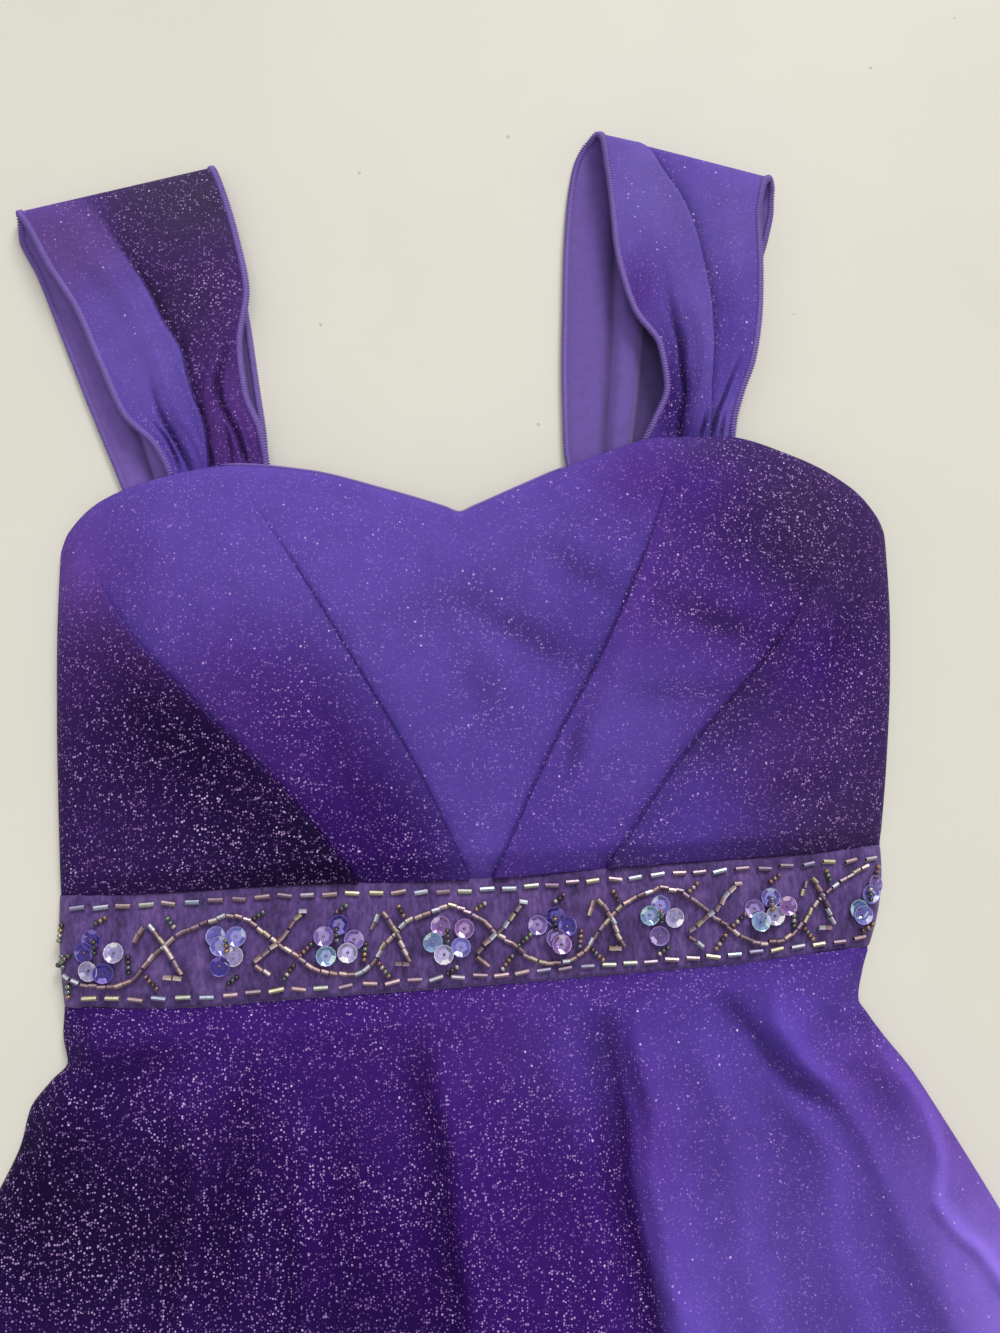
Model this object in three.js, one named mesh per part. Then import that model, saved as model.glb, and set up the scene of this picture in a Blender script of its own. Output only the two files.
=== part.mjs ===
// A-line formal dress laid out flat on its back: padded sweetheart bodice with four diagonal
// tucks, beaded waistband, flared skirt and two wide straps folded back on themselves.
// Millimetres. +X to the right, +Y from hem to straps, +Z up from the table.
import * as THREE from 'three';

// Cloth walls and seams.
const seamGap = 0.3;
const bodiceWall = 2.0;
const bandWall = 1.8;
const skirtWall = 1.5;
const strapWall = 1.5;
const backWall = 1.5;
const backInset = 3.1;
const bodiceBackInset = 3.8;

// Main heights above the table.
const bodiceSideRoll = 11;
const bodiceTuckStep = 2.4;
const bandSideRoll = 8;
const bandHeight = 10;
const bandEdgeDip = 1.4;
const skirtSideRoll = 5;
const skirtSideHeight = 5;
// Lowest that a trough of the skirt front comes to the table.
const skirtLowest = 7.9;

// Skirt fall, and the way it opens at the hem, in degrees.
const skirtLength = 550;
const hemTurnLeft = 29;
const hemTurnRight = 29.5;

// Back bodice and zip.
const backTopAtSide = 132;
const backTopAtZip = 126;
const zipLine = -3;
const zipWidth = 6;
const zipEndOnSkirt = -150;

// Colours.
const violet = 0x4a3490;
const blueViolet = 0x5a4aa5;
const plum = 0x3c2468;
const bandPurple = 0x503c74;
const zipPurple = 0x33204f;
const clothRoughness = 0.7;

// Bodice front: plan position of the side seams and of the four tuck lines, one row a section,
// from the waist seam (rise 0) to the top edge (rise 1).
const bodiceSections = [
  {
    rise: 0.00,
    sideL: [-163.5, 0.8], outerL: [-50, 2], innerL: [-7, 0.6],
    innerR: [2, 0.8], outerR: [47, 2.6], sideR: [161.8, 6.2],
  },
  {
    rise: 0.25,
    sideL: [-164.8, 33], outerL: [-79, 39], innerL: [-26.5, 43.4],
    innerR: [24, 44.7], outerR: [75.8, 41.4], sideR: [167.5, 40],
  },
  {
    rise: 0.50,
    sideL: [-165.8, 66], outerL: [-109, 70], innerL: [-49.7, 85.3],
    innerR: [48.3, 87.5], outerR: [107.8, 75.9], sideR: [172, 75],
  },
  {
    rise: 0.75,
    sideL: [-166.2, 100], outerL: [-138, 103], innerL: [-73.7, 126.6],
    innerR: [69, 132.4], outerR: [137.6, 112.4], sideR: [174.6, 107],
  },
  {
    rise: 1.00,
    sideL: [-165.6, 134], outerL: [-160, 143], innerL: [-99, 166.5],
    innerR: [87, 177.5], outerR: [162, 153.5], sideR: [175.4, 136],
  },
];
const bodiceLines = ['sideL', 'outerL', 'innerL', 'innerR', 'outerR', 'sideR'];
const columnsBetweenLines = [11, 8, 8, 8, 10];
const bodiceRowsUp = 18;

// Top edge of the bodice front.
const topEdge = [
  { x: -165.6, y: 134 }, { x: -161.5, y: 142.5 }, { x: -148, y: 154.5 }, { x: -128, y: 161.5 },
  { x: -97, y: 167 }, { x: -67, y: 164 }, { x: -36, y: 155.8 }, { x: -6, y: 146.2 },
  { x: 20, y: 156.8 }, { x: 50, y: 169 }, { x: 80, y: 177 }, { x: 106, y: 177 },
  { x: 136, y: 167.8 }, { x: 160, y: 155.5 }, { x: 171, y: 143.5 }, { x: 175.4, y: 136 },
];

// Height of the padded front at its middle, from waist seam to top edge.
const bodiceRise = [
  { rise: 0.00, height: 9.5 }, { rise: 0.06, height: 14.5 }, { rise: 0.16, height: 15 },
  { rise: 0.50, height: 17 }, { rise: 0.85, height: 16 }, { rise: 0.96, height: 14.5 },
  { rise: 1.00, height: 11.5 },
];
const cups = [
  { x: -84, y: 104, wide: 52, tall: 46, height: 9 },
  { x: 90, y: 110, wide: 52, tall: 48, height: 9 },
];
// How much of a cup's height is gone at the top edge.
const cupEdgeLoss = 0.7;
const cupEdgeFrom = 0.86;
// Share of the middle height kept at the side seams, and how far in it grows back.
const bodiceSideShare = 0.55;
const bodiceSideReach = 44;

// Each tuck's fold runs on a line of the sections, stands towards the side seam and fades out.
const tucks = [
  { line: 'outerL', outward: -1, fadeFrom: 0.66, fadeTo: 0.95 },
  { line: 'innerL', outward: -1, fadeFrom: 0.66, fadeTo: 0.95 },
  { line: 'innerR', outward: 1, fadeFrom: 0.66, fadeTo: 0.95 },
  { line: 'outerR', outward: 1, fadeFrom: 0.50, fadeTo: 0.84 },
];
const tuckFoldHalf = 0.9;
const tuckFade = 22;
const tuckHollowShare = 0.4;
const tuckHollowReach = 7;

// Waistband edges in plan, one row a section across.
const bandSections = [
  { across: 0.00, top: [-164.0, 0.0], bottom: [-161.6, -41.3], lowX: -163.6 },
  { across: 0.12, top: [-125, 0.2], bottom: [-124, -43.6], lowX: -125 },
  { across: 0.27, top: [-76, 1.0], bottom: [-75.5, -42.3], lowX: -76 },
  { across: 0.48, top: [-6, 0.0], bottom: [-8, -41.0], lowX: -7 },
  { across: 0.66, top: [51, 2.2], bottom: [48, -39.3], lowX: 49.8 },
  { across: 0.84, top: [109, 3.8], bottom: [105, -37.2], lowX: 107.4 },
  { across: 0.95, top: [146, 5.2], bottom: [139, -35.0], lowX: 143.5 },
  { across: 1.00, top: [161.8, 6.0], bottom: [153.8, -33.6], lowX: 160.0 },
];
const bandColumns = 42;
const bandRowsDown = 6;
const bandSideShare = 0.72;
const bandSideReach = 0.2;

// Skirt side edges in plan by the share of the skirt's fall.
const skirtSides = [
  { fall: 0.000, left: -161.6, right: 153.6 }, { fall: 0.020, left: -162.0, right: 150.0 },
  { fall: 0.042, left: -160.2, right: 147.6 }, { fall: 0.055, left: -166.0, right: 151.0 },
  { fall: 0.075, left: -173.5, right: 157.5 }, { fall: 0.100, left: -176.5, right: 166.5 },
  { fall: 0.135, left: -184.5, right: 176.5 }, { fall: 0.210, left: -204, right: 196.5 },
  { fall: 0.600, left: -302, right: 294 }, { fall: 1.000, left: -415, right: 408 },
];
// Height of the skirt front between its folds.
const skirtRise = [
  { fall: 0.00, height: 9 }, { fall: 0.02, height: 13 }, { fall: 0.06, height: 12 },
  { fall: 0.15, height: 11 }, { fall: 0.40, height: 10.4 }, { fall: 1.00, height: 10 },
];
// Folds of the skirt front. `shares` gives where a fold runs across the width at each fall of
// foldFalls. A ridge has a height above the cloth and a trough one below it, near the waist and
// at the hem. `left` and `right` are its half widths near the waist, `hemHalf` that at the hem.
const foldFalls = [0, 0.07, 0.14, 0.22, 1];
const skirtFolds = [
  {
    shares: [0.697, 0.696, 0.668, 0.663, 0.640],
    from: 0.01, height: 7, hem: 12, left: 6, right: 22, hemHalf: 34,
  },
  {
    shares: [0.660, 0.660, 0.632, 0.632, 0.600],
    from: 0.01, height: -3, hem: -2, left: 8, right: 6, hemHalf: 12,
  },
  {
    shares: [0.865, 0.880, 0.904, 0.900, 0.890],
    from: 0.00, height: 5, hem: 8, left: 7, right: 10, hemHalf: 32,
  },
  {
    shares: [0.800, 0.851, 0.840, 0.773, 0.760],
    from: 0.02, height: -3, hem: -2, left: 7, right: 7, hemHalf: 18,
  },
  {
    shares: [0.830, 0.830, 0.858, 0.828, 0.830],
    from: 0.09, height: 3, hem: 7, left: 8, right: 8, hemHalf: 24,
  },
  {
    shares: [0.980, 0.980, 0.960, 0.905, 0.860],
    from: 0.06, height: -3, hem: -1, left: 8, right: 8, hemHalf: 14,
  },
  {
    shares: [0.990, 0.990, 0.988, 0.932, 0.940],
    from: 0.10, height: 4, hem: 6, left: 12, right: 4, hemHalf: 20,
  },
  {
    shares: [0.140, 0.185, 0.204, 0.228, 0.180],
    from: 0.03, height: 3, hem: 8, left: 11, right: 8, hemHalf: 28,
  },
  {
    shares: [0.290, 0.301, 0.310, 0.338, 0.320],
    from: 0.05, height: 2.5, hem: 8, left: 8, right: 12, hemHalf: 28,
  },
  {
    shares: [0.400, 0.438, 0.447, 0.465, 0.430],
    from: 0.02, height: -3.5, hem: -2, left: 7, right: 6, hemHalf: 12,
  },
  {
    shares: [0.440, 0.466, 0.471, 0.478, 0.480],
    from: 0.02, height: 3.5, hem: 9, left: 6, right: 16, hemHalf: 30,
  },
];
// How far down a fold takes to grow, and where it starts and ends to widen to its hem size.
const foldGrowth = 0.08;
const foldWidensFrom = 0.12;
const foldWidensTo = 0.8;
const skirtSideReach = 26;
const skirtColumns = 52;
const skirtRowsDown = 24;

// Straps: one row a section along the cloth, from the end inside the bodice front, over the
// loop at the shoulder, to the end on the bodice back. `lift` is the height of the middle of
// the wall, `crease` the height of the gathers and `turn` the way the outer face looks in the
// Y-Z plane, in degrees (90 up, 0 to the shoulder, -90 down).
const strapLeftSections = [
  { left: [-120.5, 154.5], right: [-82.5, 158], lift: 8.3, crease: 0.1, turn: 90 },
  { left: [-121.5, 164], right: [-83, 168], lift: 8.3, crease: 0.1, turn: 90 },
  { left: [-127, 176], right: [-85, 181], lift: 9.6, crease: 1.5, turn: 90 },
  { left: [-138.5, 188], right: [-91, 198], lift: 10.2, crease: 1.7, turn: 90 },
  { left: [-148, 209], right: [-93, 219], lift: 10.2, crease: 1.4, turn: 90 },
  { left: [-158, 233], right: [-90, 241], lift: 9.8, crease: 1.1, turn: 90 },
  { left: [-170, 253], right: [-94, 265], lift: 9.2, crease: 0.6, turn: 90 },
  { left: [-177.5, 268], right: [-99, 284], lift: 8.8, crease: 0.2, turn: 80 },
  { left: [-182, 275.2], right: [-103, 295.4], lift: 7.6, crease: 0.0, turn: 45 },
  { left: [-183.6, 277.6], right: [-104.5, 298.6], lift: 4.8, crease: 0.0, turn: 0 },
  { left: [-184.0, 275.4], right: [-104, 296.0], lift: 1.9, crease: 0.0, turn: -45 },
  { left: [-183.5, 268], right: [-101, 288], lift: 0.8, crease: 0.0, turn: -90 },
  { left: [-176, 252], right: [-96, 264], lift: 0.8, crease: 0.5, turn: -90 },
  { left: [-166, 226], right: [-91, 232], lift: 0.8, crease: 0.8, turn: -90 },
  { left: [-155.5, 198], right: [-87.5, 204], lift: 0.8, crease: 1.0, turn: -90 },
  { left: [-146, 174], right: [-84.5, 178], lift: 0.9, crease: 1.2, turn: -90 },
  { left: [-138, 154], right: [-84, 156], lift: 1.1, crease: 1.1, turn: -90 },
  { left: [-131, 137], right: [-86, 138], lift: 2.3, crease: 0.5, turn: -90 },
  { left: [-128, 127], right: [-88, 127.5], lift: 2.65, crease: 0.1, turn: -90 },
  { left: [-127, 119], right: [-88.5, 119.5], lift: 2.65, crease: 0.1, turn: -90 },
];
const strapRightSections = [
  { left: [71.5, 164.5], right: [109.5, 165], lift: 8.3, crease: 0.1, turn: 90 },
  { left: [71.8, 174], right: [110, 175], lift: 8.3, crease: 0.1, turn: 90 },
  { left: [76.5, 184], right: [111, 184.5], lift: 9.8, crease: 1.6, turn: 90 },
  { left: [82.6, 199], right: [114.5, 196], lift: 11, crease: 1.9, turn: 90 },
  { left: [80.5, 216], right: [120.5, 211], lift: 12, crease: 1.7, turn: 90 },
  { left: [70, 233], right: [125, 234], lift: 12.5, crease: 1.4, turn: 90 },
  { left: [64, 260], right: [126.5, 254], lift: 13, crease: 1.0, turn: 90 },
  { left: [62.8, 284], right: [127, 273], lift: 13.4, crease: 0.5, turn: 90 },
  { left: [61.5, 299], right: [129, 284], lift: 13.2, crease: 0.1, turn: 78 },
  { left: [60.8, 310.5], right: [132, 291.5], lift: 11.2, crease: 0.0, turn: 42 },
  { left: [58.8, 315.0], right: [136, 295], lift: 7.0, crease: 0.0, turn: 0 },
  { left: [55.6, 313.0], right: [138, 292], lift: 2.6, crease: 0.0, turn: -45 },
  { left: [51.2, 305.6], right: [137.5, 284], lift: 0.8, crease: 0.0, turn: -90 },
  { left: [47.6, 291], right: [134.5, 272], lift: 0.8, crease: 0.5, turn: -90 },
  { left: [44.5, 267], right: [130, 258], lift: 0.8, crease: 0.9, turn: -90 },
  { left: [42.2, 235], right: [126, 234], lift: 0.8, crease: 1.1, turn: -90 },
  { left: [40.5, 205], right: [119, 206], lift: 0.8, crease: 1.3, turn: -90 },
  { left: [40, 176], right: [108, 178], lift: 0.9, crease: 1.3, turn: -90 },
  { left: [44, 155], right: [101, 156], lift: 1.1, crease: 1.1, turn: -90 },
  { left: [51, 137], right: [96, 138], lift: 2.3, crease: 0.5, turn: -90 },
  { left: [54, 127], right: [94.5, 127.5], lift: 2.65, crease: 0.1, turn: -90 },
  { left: [55, 119], right: [94, 119.5], lift: 2.65, crease: 0.1, turn: -90 },
];
const strapRowsAlong = 38;
const strapColumns = 16;
const strapGathers = 4.5;
const broadGatherShare = 0.35;
const broadGathers = 2.1;

const mix = (a, b, t) => a + (b - a) * t;

function smoothStep(from, to, value) {
  const t = Math.min(1, Math.max(0, (value - from) / (to - from)));
  return t * t * (3 - 2 * t);
}

// Smooth curve through one column of a table, sorted by its column `key`.
function tableAt(table, key, at, column) {
  const last = table.length - 1;
  const read = (row) => column(table[Math.min(last, Math.max(0, row))]);
  const place = (row) => table[Math.min(last, Math.max(0, row))][key];
  let row = 0;
  while (row < last - 1 && at > place(row + 1)) row += 1;
  const span = place(row + 1) - place(row);
  const t = Math.min(1, Math.max(0, (at - place(row)) / span));
  const slope = (r) => {
    const before = place(r) - place(r - 1);
    const after = place(r + 1) - place(r);
    const left = before > 0 ? (read(r) - read(r - 1)) / before : (read(r + 1) - read(r)) / after;
    const right = after > 0 ? (read(r + 1) - read(r)) / after : left;
    return left * right <= 0 ? 0 : (2 * left * right) / (left + right);
  };
  const t2 = t * t;
  const t3 = t2 * t;
  return read(row) * (2 * t3 - 3 * t2 + 1) + read(row + 1) * (3 * t2 - 2 * t3)
    + slope(row) * span * (t3 - 2 * t2 + t) + slope(row + 1) * span * (t3 - t2);
}

// Cuts around the roll of cloth at a side edge.
const rollCuts = 4;

// Shares from 0 to 1 with the first and last roll of the cloth cut finely.
function sharesAcross(columns, rollShareLeft, rollShareRight) {
  const shares = [];
  for (let i = 0; i < rollCuts; i += 1) {
    shares.push(rollShareLeft * (1 - Math.cos((i / rollCuts) * Math.PI / 2)));
  }
  const between = columns - 2 * rollCuts;
  for (let i = 0; i <= between; i += 1) {
    shares.push(mix(rollShareLeft, 1 - rollShareRight, i / between));
  }
  for (let i = rollCuts - 1; i >= 0; i -= 1) {
    shares.push(1 - rollShareRight * (1 - Math.cos((i / rollCuts) * Math.PI / 2)));
  }
  return shares;
}

// Closed wall from a grid of outer points and the matching inner points.
function wall(name, colour, rows, columns, outerAt, innerAt) {
  const positions = [];
  const faces = [];
  const place = (side, row, column) => (side * (rows + 1) + row) * (columns + 1) + column;
  [outerAt, innerAt].forEach((pointAt) => {
    for (let row = 0; row <= rows; row += 1) {
      for (let column = 0; column <= columns; column += 1) {
        positions.push(...pointAt(row, column));
      }
    }
  });
  const outer = (row, column) => place(0, row, column);
  const inner = (row, column) => place(1, row, column);
  const quad = (a, b, c, d) => faces.push(a, b, c, a, c, d);
  for (let row = 0; row < rows; row += 1) {
    for (let column = 0; column < columns; column += 1) {
      const [nextRow, nextColumn] = [row + 1, column + 1];
      quad(outer(row, column), outer(row, nextColumn), outer(nextRow, nextColumn), outer(nextRow, column));
      quad(inner(row, column), inner(nextRow, column), inner(nextRow, nextColumn), inner(row, nextColumn));
    }
  }
  for (let column = 0; column < columns; column += 1) {
    quad(inner(0, column), inner(0, column + 1), outer(0, column + 1), outer(0, column));
    quad(outer(rows, column), outer(rows, column + 1), inner(rows, column + 1), inner(rows, column));
  }
  for (let row = 0; row < rows; row += 1) {
    quad(outer(row, 0), outer(row + 1, 0), inner(row + 1, 0), inner(row, 0));
    quad(inner(row, columns), inner(row + 1, columns), outer(row + 1, columns), outer(row, columns));
  }
  const geometry = new THREE.BufferGeometry();
  geometry.setAttribute('position', new THREE.Float32BufferAttribute(positions, 3));
  geometry.setIndex(faces);
  geometry.computeVertexNormals();
  const material = new THREE.MeshStandardMaterial({ color: colour, roughness: clothRoughness });
  const mesh = new THREE.Mesh(geometry, material);
  mesh.name = name;
  return mesh;
}

// Laid cloth that rounds down to the table at both side edges. `planAt` gives x and y,
// `heightAt` the height once past the roll, and `edges` the side edge x of a row.
function laidFront({ name, colour, rows, shares, thickness, roll, planAt, edgesAt, heightAt }) {
  const columns = shares.length - 1;
  const surface = (row, column) => {
    const [x, y] = planAt(row / rows, shares[column]);
    const [edgeLeft, edgeRight] = edgesAt(row / rows);
    const fromLeft = x - edgeLeft;
    const fromRight = edgeRight - x;
    const near = Math.min(fromLeft, fromRight);
    const around = Math.acos(1 - Math.min(1, Math.max(0, near / roll)));
    const side = fromLeft < fromRight ? -1 : 1;
    const height = heightAt(row / rows, shares[column], x, y) * Math.sin(around);
    return { x, y, height, side, around };
  };
  const outer = (row, column) => {
    const p = surface(row, column);
    return [p.x, p.y, p.height];
  };
  const inner = (row, column) => {
    const p = surface(row, column);
    const inward = -p.side * thickness * Math.cos(p.around);
    return [p.x + inward, p.y, p.height - thickness * Math.sin(p.around)];
  };
  return wall(name, colour, rows, columns, outer, inner);
}

// Flat cloth on the table between two edge lines, each a function of the share down its length.
function laidBack(name, colour, rows, columns, leftAt, rightAt, foot, thickness) {
  const plan = (row, column) => {
    const [leftX, leftY] = leftAt(row / rows);
    const [rightX, rightY] = rightAt(row / rows);
    return [mix(leftX, rightX, column / columns), mix(leftY, rightY, column / columns)];
  };
  const upper = (row, column) => [...plan(row, column), foot + thickness];
  const lower = (row, column) => [...plan(row, column), foot];
  return wall(name, colour, rows, columns, upper, lower);
}

// Point of a side seam or tuck line of the bodice at a rise.
function bodiceAt(line, rise) {
  return [0, 1].map((axis) => tableAt(bodiceSections, 'rise', rise, (row) => row[line][axis]));
}
const topEdgeAt = (x) => tableAt(topEdge, 'x', x, (row) => row.y);
const bandTopEdge = bandSections.map((row) => ({ x: row.top[0], y: row.top[1] }));
const bandBottomEdge = bandSections.map((row) => ({ x: row.bottom[0], y: row.bottom[1] }));
const bandTopAt = (x) => tableAt(bandTopEdge, 'x', x, (row) => row.y);
const bandBottomAt = (x) => tableAt(bandBottomEdge, 'x', x, (row) => row.y);

// Columns of the bodice grid: two beside each tuck fold, the rest spread between them.
function bodiceColumns() {
  const columns = [];
  bodiceLines.slice(0, -1).forEach((line, panel) => {
    const count = columnsBetweenLines[panel];
    for (let i = 0; i <= count; i += 1) {
      columns.push({ panel, share: i / count });
    }
  });
  return columns;
}

const bodiceGrid = bodiceColumns();

// Share of a side panel's width, with the roll at the side seam cut finely.
function sideShare(share, panelWidth, count) {
  const step = share * count;
  const rollShare = Math.min(bodiceSideRoll / panelWidth, 0.6);
  if (step <= rollCuts) return rollShare * (1 - Math.cos((step / rollCuts) * Math.PI / 2));
  return mix(rollShare, 1, (step - rollCuts) / (count - rollCuts));
}

function bodicePlan(rise, { panel, share }) {
  const lastPanel = bodiceLines.length - 2;
  const leftEnd = panel === 0 ? 0 : tuckFoldHalf;
  const rightEnd = panel === lastPanel ? 0 : tuckFoldHalf;
  const [x0, y0] = bodiceAt(bodiceLines[panel], rise);
  const [x1, y1] = bodiceAt(bodiceLines[panel + 1], rise);
  let along = share;
  if (panel === 0) along = sideShare(share, x1 - x0, columnsBetweenLines[0]);
  if (panel === lastPanel) {
    along = 1 - sideShare(1 - share, x1 - x0, columnsBetweenLines[lastPanel]);
  }
  const x = mix(x0 + leftEnd, x1 - rightEnd, along);
  let y = mix(y0, y1, along);
  const [topX0, topY0] = bodiceAt(bodiceLines[panel], 1);
  const [topX1, topY1] = bodiceAt(bodiceLines[panel + 1], 1);
  const [footX0, footY0] = bodiceAt(bodiceLines[panel], 0);
  const [footX1, footY1] = bodiceAt(bodiceLines[panel + 1], 0);
  const topX = mix(topX0 + leftEnd, topX1 - rightEnd, along);
  const footX = mix(footX0 + leftEnd, footX1 - rightEnd, along);
  y += rise * rise * (topEdgeAt(topX) - mix(topY0, topY1, along));
  y += (1 - rise) * (1 - rise) * (bandTopAt(footX) + seamGap - mix(footY0, footY1, along));
  return [x, y];
}

function tuckHeight(rise, x) {
  let height = 0;
  tucks.forEach((tuck) => {
    const stand = bodiceTuckStep * (1 - smoothStep(tuck.fadeFrom, tuck.fadeTo, rise));
    const [foldX] = bodiceAt(tuck.line, rise);
    const outward = (x - foldX) * tuck.outward;
    if (outward > 0) height += stand * Math.exp(-outward / tuckFade);
    else height -= tuckHollowShare * stand * Math.exp(outward / tuckHollowReach);
  });
  return height;
}

function bodiceHeight(rise, x, y) {
  const middle = tableAt(bodiceRise, 'rise', rise, (row) => row.height);
  let height = middle;
  cups.forEach((cup) => {
    const away = ((x - cup.x) / cup.wide) ** 2 + ((y - cup.y) / cup.tall) ** 2;
    height += cup.height * Math.exp(-away) * (1 - cupEdgeLoss * smoothStep(cupEdgeFrom, 1, rise));
  });
  const [edgeLeft] = bodiceAt('sideL', rise);
  const [edgeRight] = bodiceAt('sideR', rise);
  const near = Math.min(x - edgeLeft, edgeRight - x);
  const shoulder = mix(bodiceSideShare, 1, smoothStep(0, bodiceSideReach, near));
  return height * shoulder + tuckHeight(rise, x);
}

const bodiceFront = laidFront({
  name: 'bodice_front',
  colour: violet,
  rows: bodiceRowsUp,
  shares: bodiceGrid,
  thickness: bodiceWall,
  roll: bodiceSideRoll,
  planAt: bodicePlan,
  edgesAt: (rise) => [bodiceAt('sideL', rise)[0], bodiceAt('sideR', rise)[0]],
  heightAt: (rise, share, x, y) => bodiceHeight(rise, x, y),
});

// Point of the waistband at a share across and a share down.
const bandAt = (across, down) => {
  const read = (edge, axis) => tableAt(bandSections, 'across', across, (row) => row[edge][axis]);
  const middle = tableAt(bandSections, 'across', across, (row) => row.lowX);
  const straight = mix(read('top', 0), read('bottom', 0), down);
  const bow = middle - mix(read('top', 0), read('bottom', 0), 0.5);
  return [straight + bow * 4 * down * (1 - down), mix(read('top', 1), read('bottom', 1), down)];
};
const waistbandFront = laidFront({
  name: 'waistband_front',
  colour: bandPurple,
  rows: bandRowsDown,
  shares: sharesAcross(bandColumns, 0.026, 0.026).reverse(),
  thickness: bandWall,
  roll: bandSideRoll,
  planAt: (down, across) => bandAt(across, down),
  edgesAt: (down) => [bandAt(0, down)[0], bandAt(1, down)[0]],
  heightAt: (down, across) => {
    const nearSide = Math.min(across, 1 - across);
    const crown = bandHeight * mix(bandSideShare, 1, smoothStep(0, bandSideReach, nearSide));
    return crown - bandEdgeDip * (2 * down - 1) ** 2;
  },
});

// Skirt front: side edges, turn towards the hem, plan and height.
const skirtSideAt = (fall, side) => tableAt(skirtSides, 'fall', fall, (row) => row[side]);
const hemTurnAt = (across) => THREE.MathUtils.degToRad(mix(-hemTurnLeft, hemTurnRight, across));
function skirtPlan(fall, across) {
  const x = mix(skirtSideAt(fall, 'left'), skirtSideAt(fall, 'right'), across);
  const waistX = mix(skirtSideAt(0, 'left'), skirtSideAt(0, 'right'), across);
  const waistY = bandBottomAt(waistX) - seamGap;
  return [x, waistY - fall * skirtLength * Math.cos(hemTurnAt(across))];
}
// Rows lie closer together near the waist, where the outline turns.
const skirtFallAt = (row) => mix(row ** 1.6, row ** 3, 0.45);
function skirtHeight(fall, across, x) {
  const width = skirtSideAt(fall, 'right') - skirtSideAt(fall, 'left');
  const start = skirtSideAt(fall, 'left');
  let height = tableAt(skirtRise, 'fall', fall, (row) => row.height);
  const down = smoothStep(foldWidensFrom, foldWidensTo, fall);
  skirtFolds.forEach((fold) => {
    const path = foldFalls.map((place, index) => ({ fall: place, share: fold.shares[index] }));
    const away = x - start - width * tableAt(path, 'fall', fall, (row) => row.share);
    const reach = mix(away < 0 ? fold.left : fold.right, fold.hemHalf, down);
    height += mix(fold.height, fold.hem, down) * smoothStep(fold.from, fold.from + foldGrowth, fall)
      * Math.exp(-((away / reach) ** 2));
  });
  const near = Math.min(x - start, start + width - x);
  return mix(skirtSideHeight, Math.max(height, skirtLowest), smoothStep(0, skirtSideReach, near));
}
const skirtShares = sharesAcross(skirtColumns, 0.012, 0.012).reverse();
const skirtFront = laidFront({
  name: 'skirt_front',
  colour: plum,
  rows: skirtRowsDown,
  shares: skirtShares,
  thickness: skirtWall,
  roll: skirtSideRoll,
  planAt: (down, across) => skirtPlan(skirtFallAt(down), across),
  edgesAt: (down) => {
    const fall = skirtFallAt(down);
    return [skirtSideAt(fall, 'left'), skirtSideAt(fall, 'right')];
  },
  heightAt: (down, across, x) => skirtHeight(skirtFallAt(down), across, x),
});

// Backs, flat on the table inside the fronts.
const zipLeft = zipLine - zipWidth / 2 - seamGap;
const zipRight = zipLine + zipWidth / 2 + seamGap;
const backTopAt = (x) => mix(backTopAtZip, backTopAtSide, Math.abs(x - zipLine) / 165);

function bodiceBackSide(side, inset) {
  const line = side < 0 ? 'sideL' : 'sideR';
  return (up) => {
    const [, topY] = bodiceAt(line, 1);
    const footY = bandTopAt(bodiceAt(line, 0)[0]) + seamGap;
    const y = mix(footY, Math.min(topY, backTopAtSide), up);
    const rise = (y - footY) / (topY - footY);
    return [bodiceAt(line, rise)[0] - side * inset, y];
  };
}
function bodiceBackMiddle(x) {
  return (up) => [x, mix(bandTopAt(x) + seamGap, backTopAt(x), up)];
}
const bodiceBackLeft = laidBack('bodice_back_left', plum, 8, 8,
  bodiceBackSide(-1, bodiceBackInset), bodiceBackMiddle(zipLeft), 0, backWall);
const bodiceBackRight = laidBack('bodice_back_right', plum, 8, 8,
  bodiceBackMiddle(zipRight), bodiceBackSide(1, bodiceBackInset), 0, backWall);

function bandBackSide(side, inset) {
  return (up) => {
    const [x, y] = bandAt(side < 0 ? 0 : 1, 1 - up);
    return [x - side * inset, y];
  };
}
const bandBackMiddle = (x) => (up) => [x, mix(bandBottomAt(x), bandTopAt(x), up)];
const waistbandBackLeft = laidBack('waistband_back_left', bandPurple, 4, 8,
  bandBackSide(-1, backInset), bandBackMiddle(zipLeft), 0, backWall);
const waistbandBackRight = laidBack('waistband_back_right', bandPurple, 4, 8,
  bandBackMiddle(zipRight), bandBackSide(1, backInset), 0, backWall);

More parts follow.
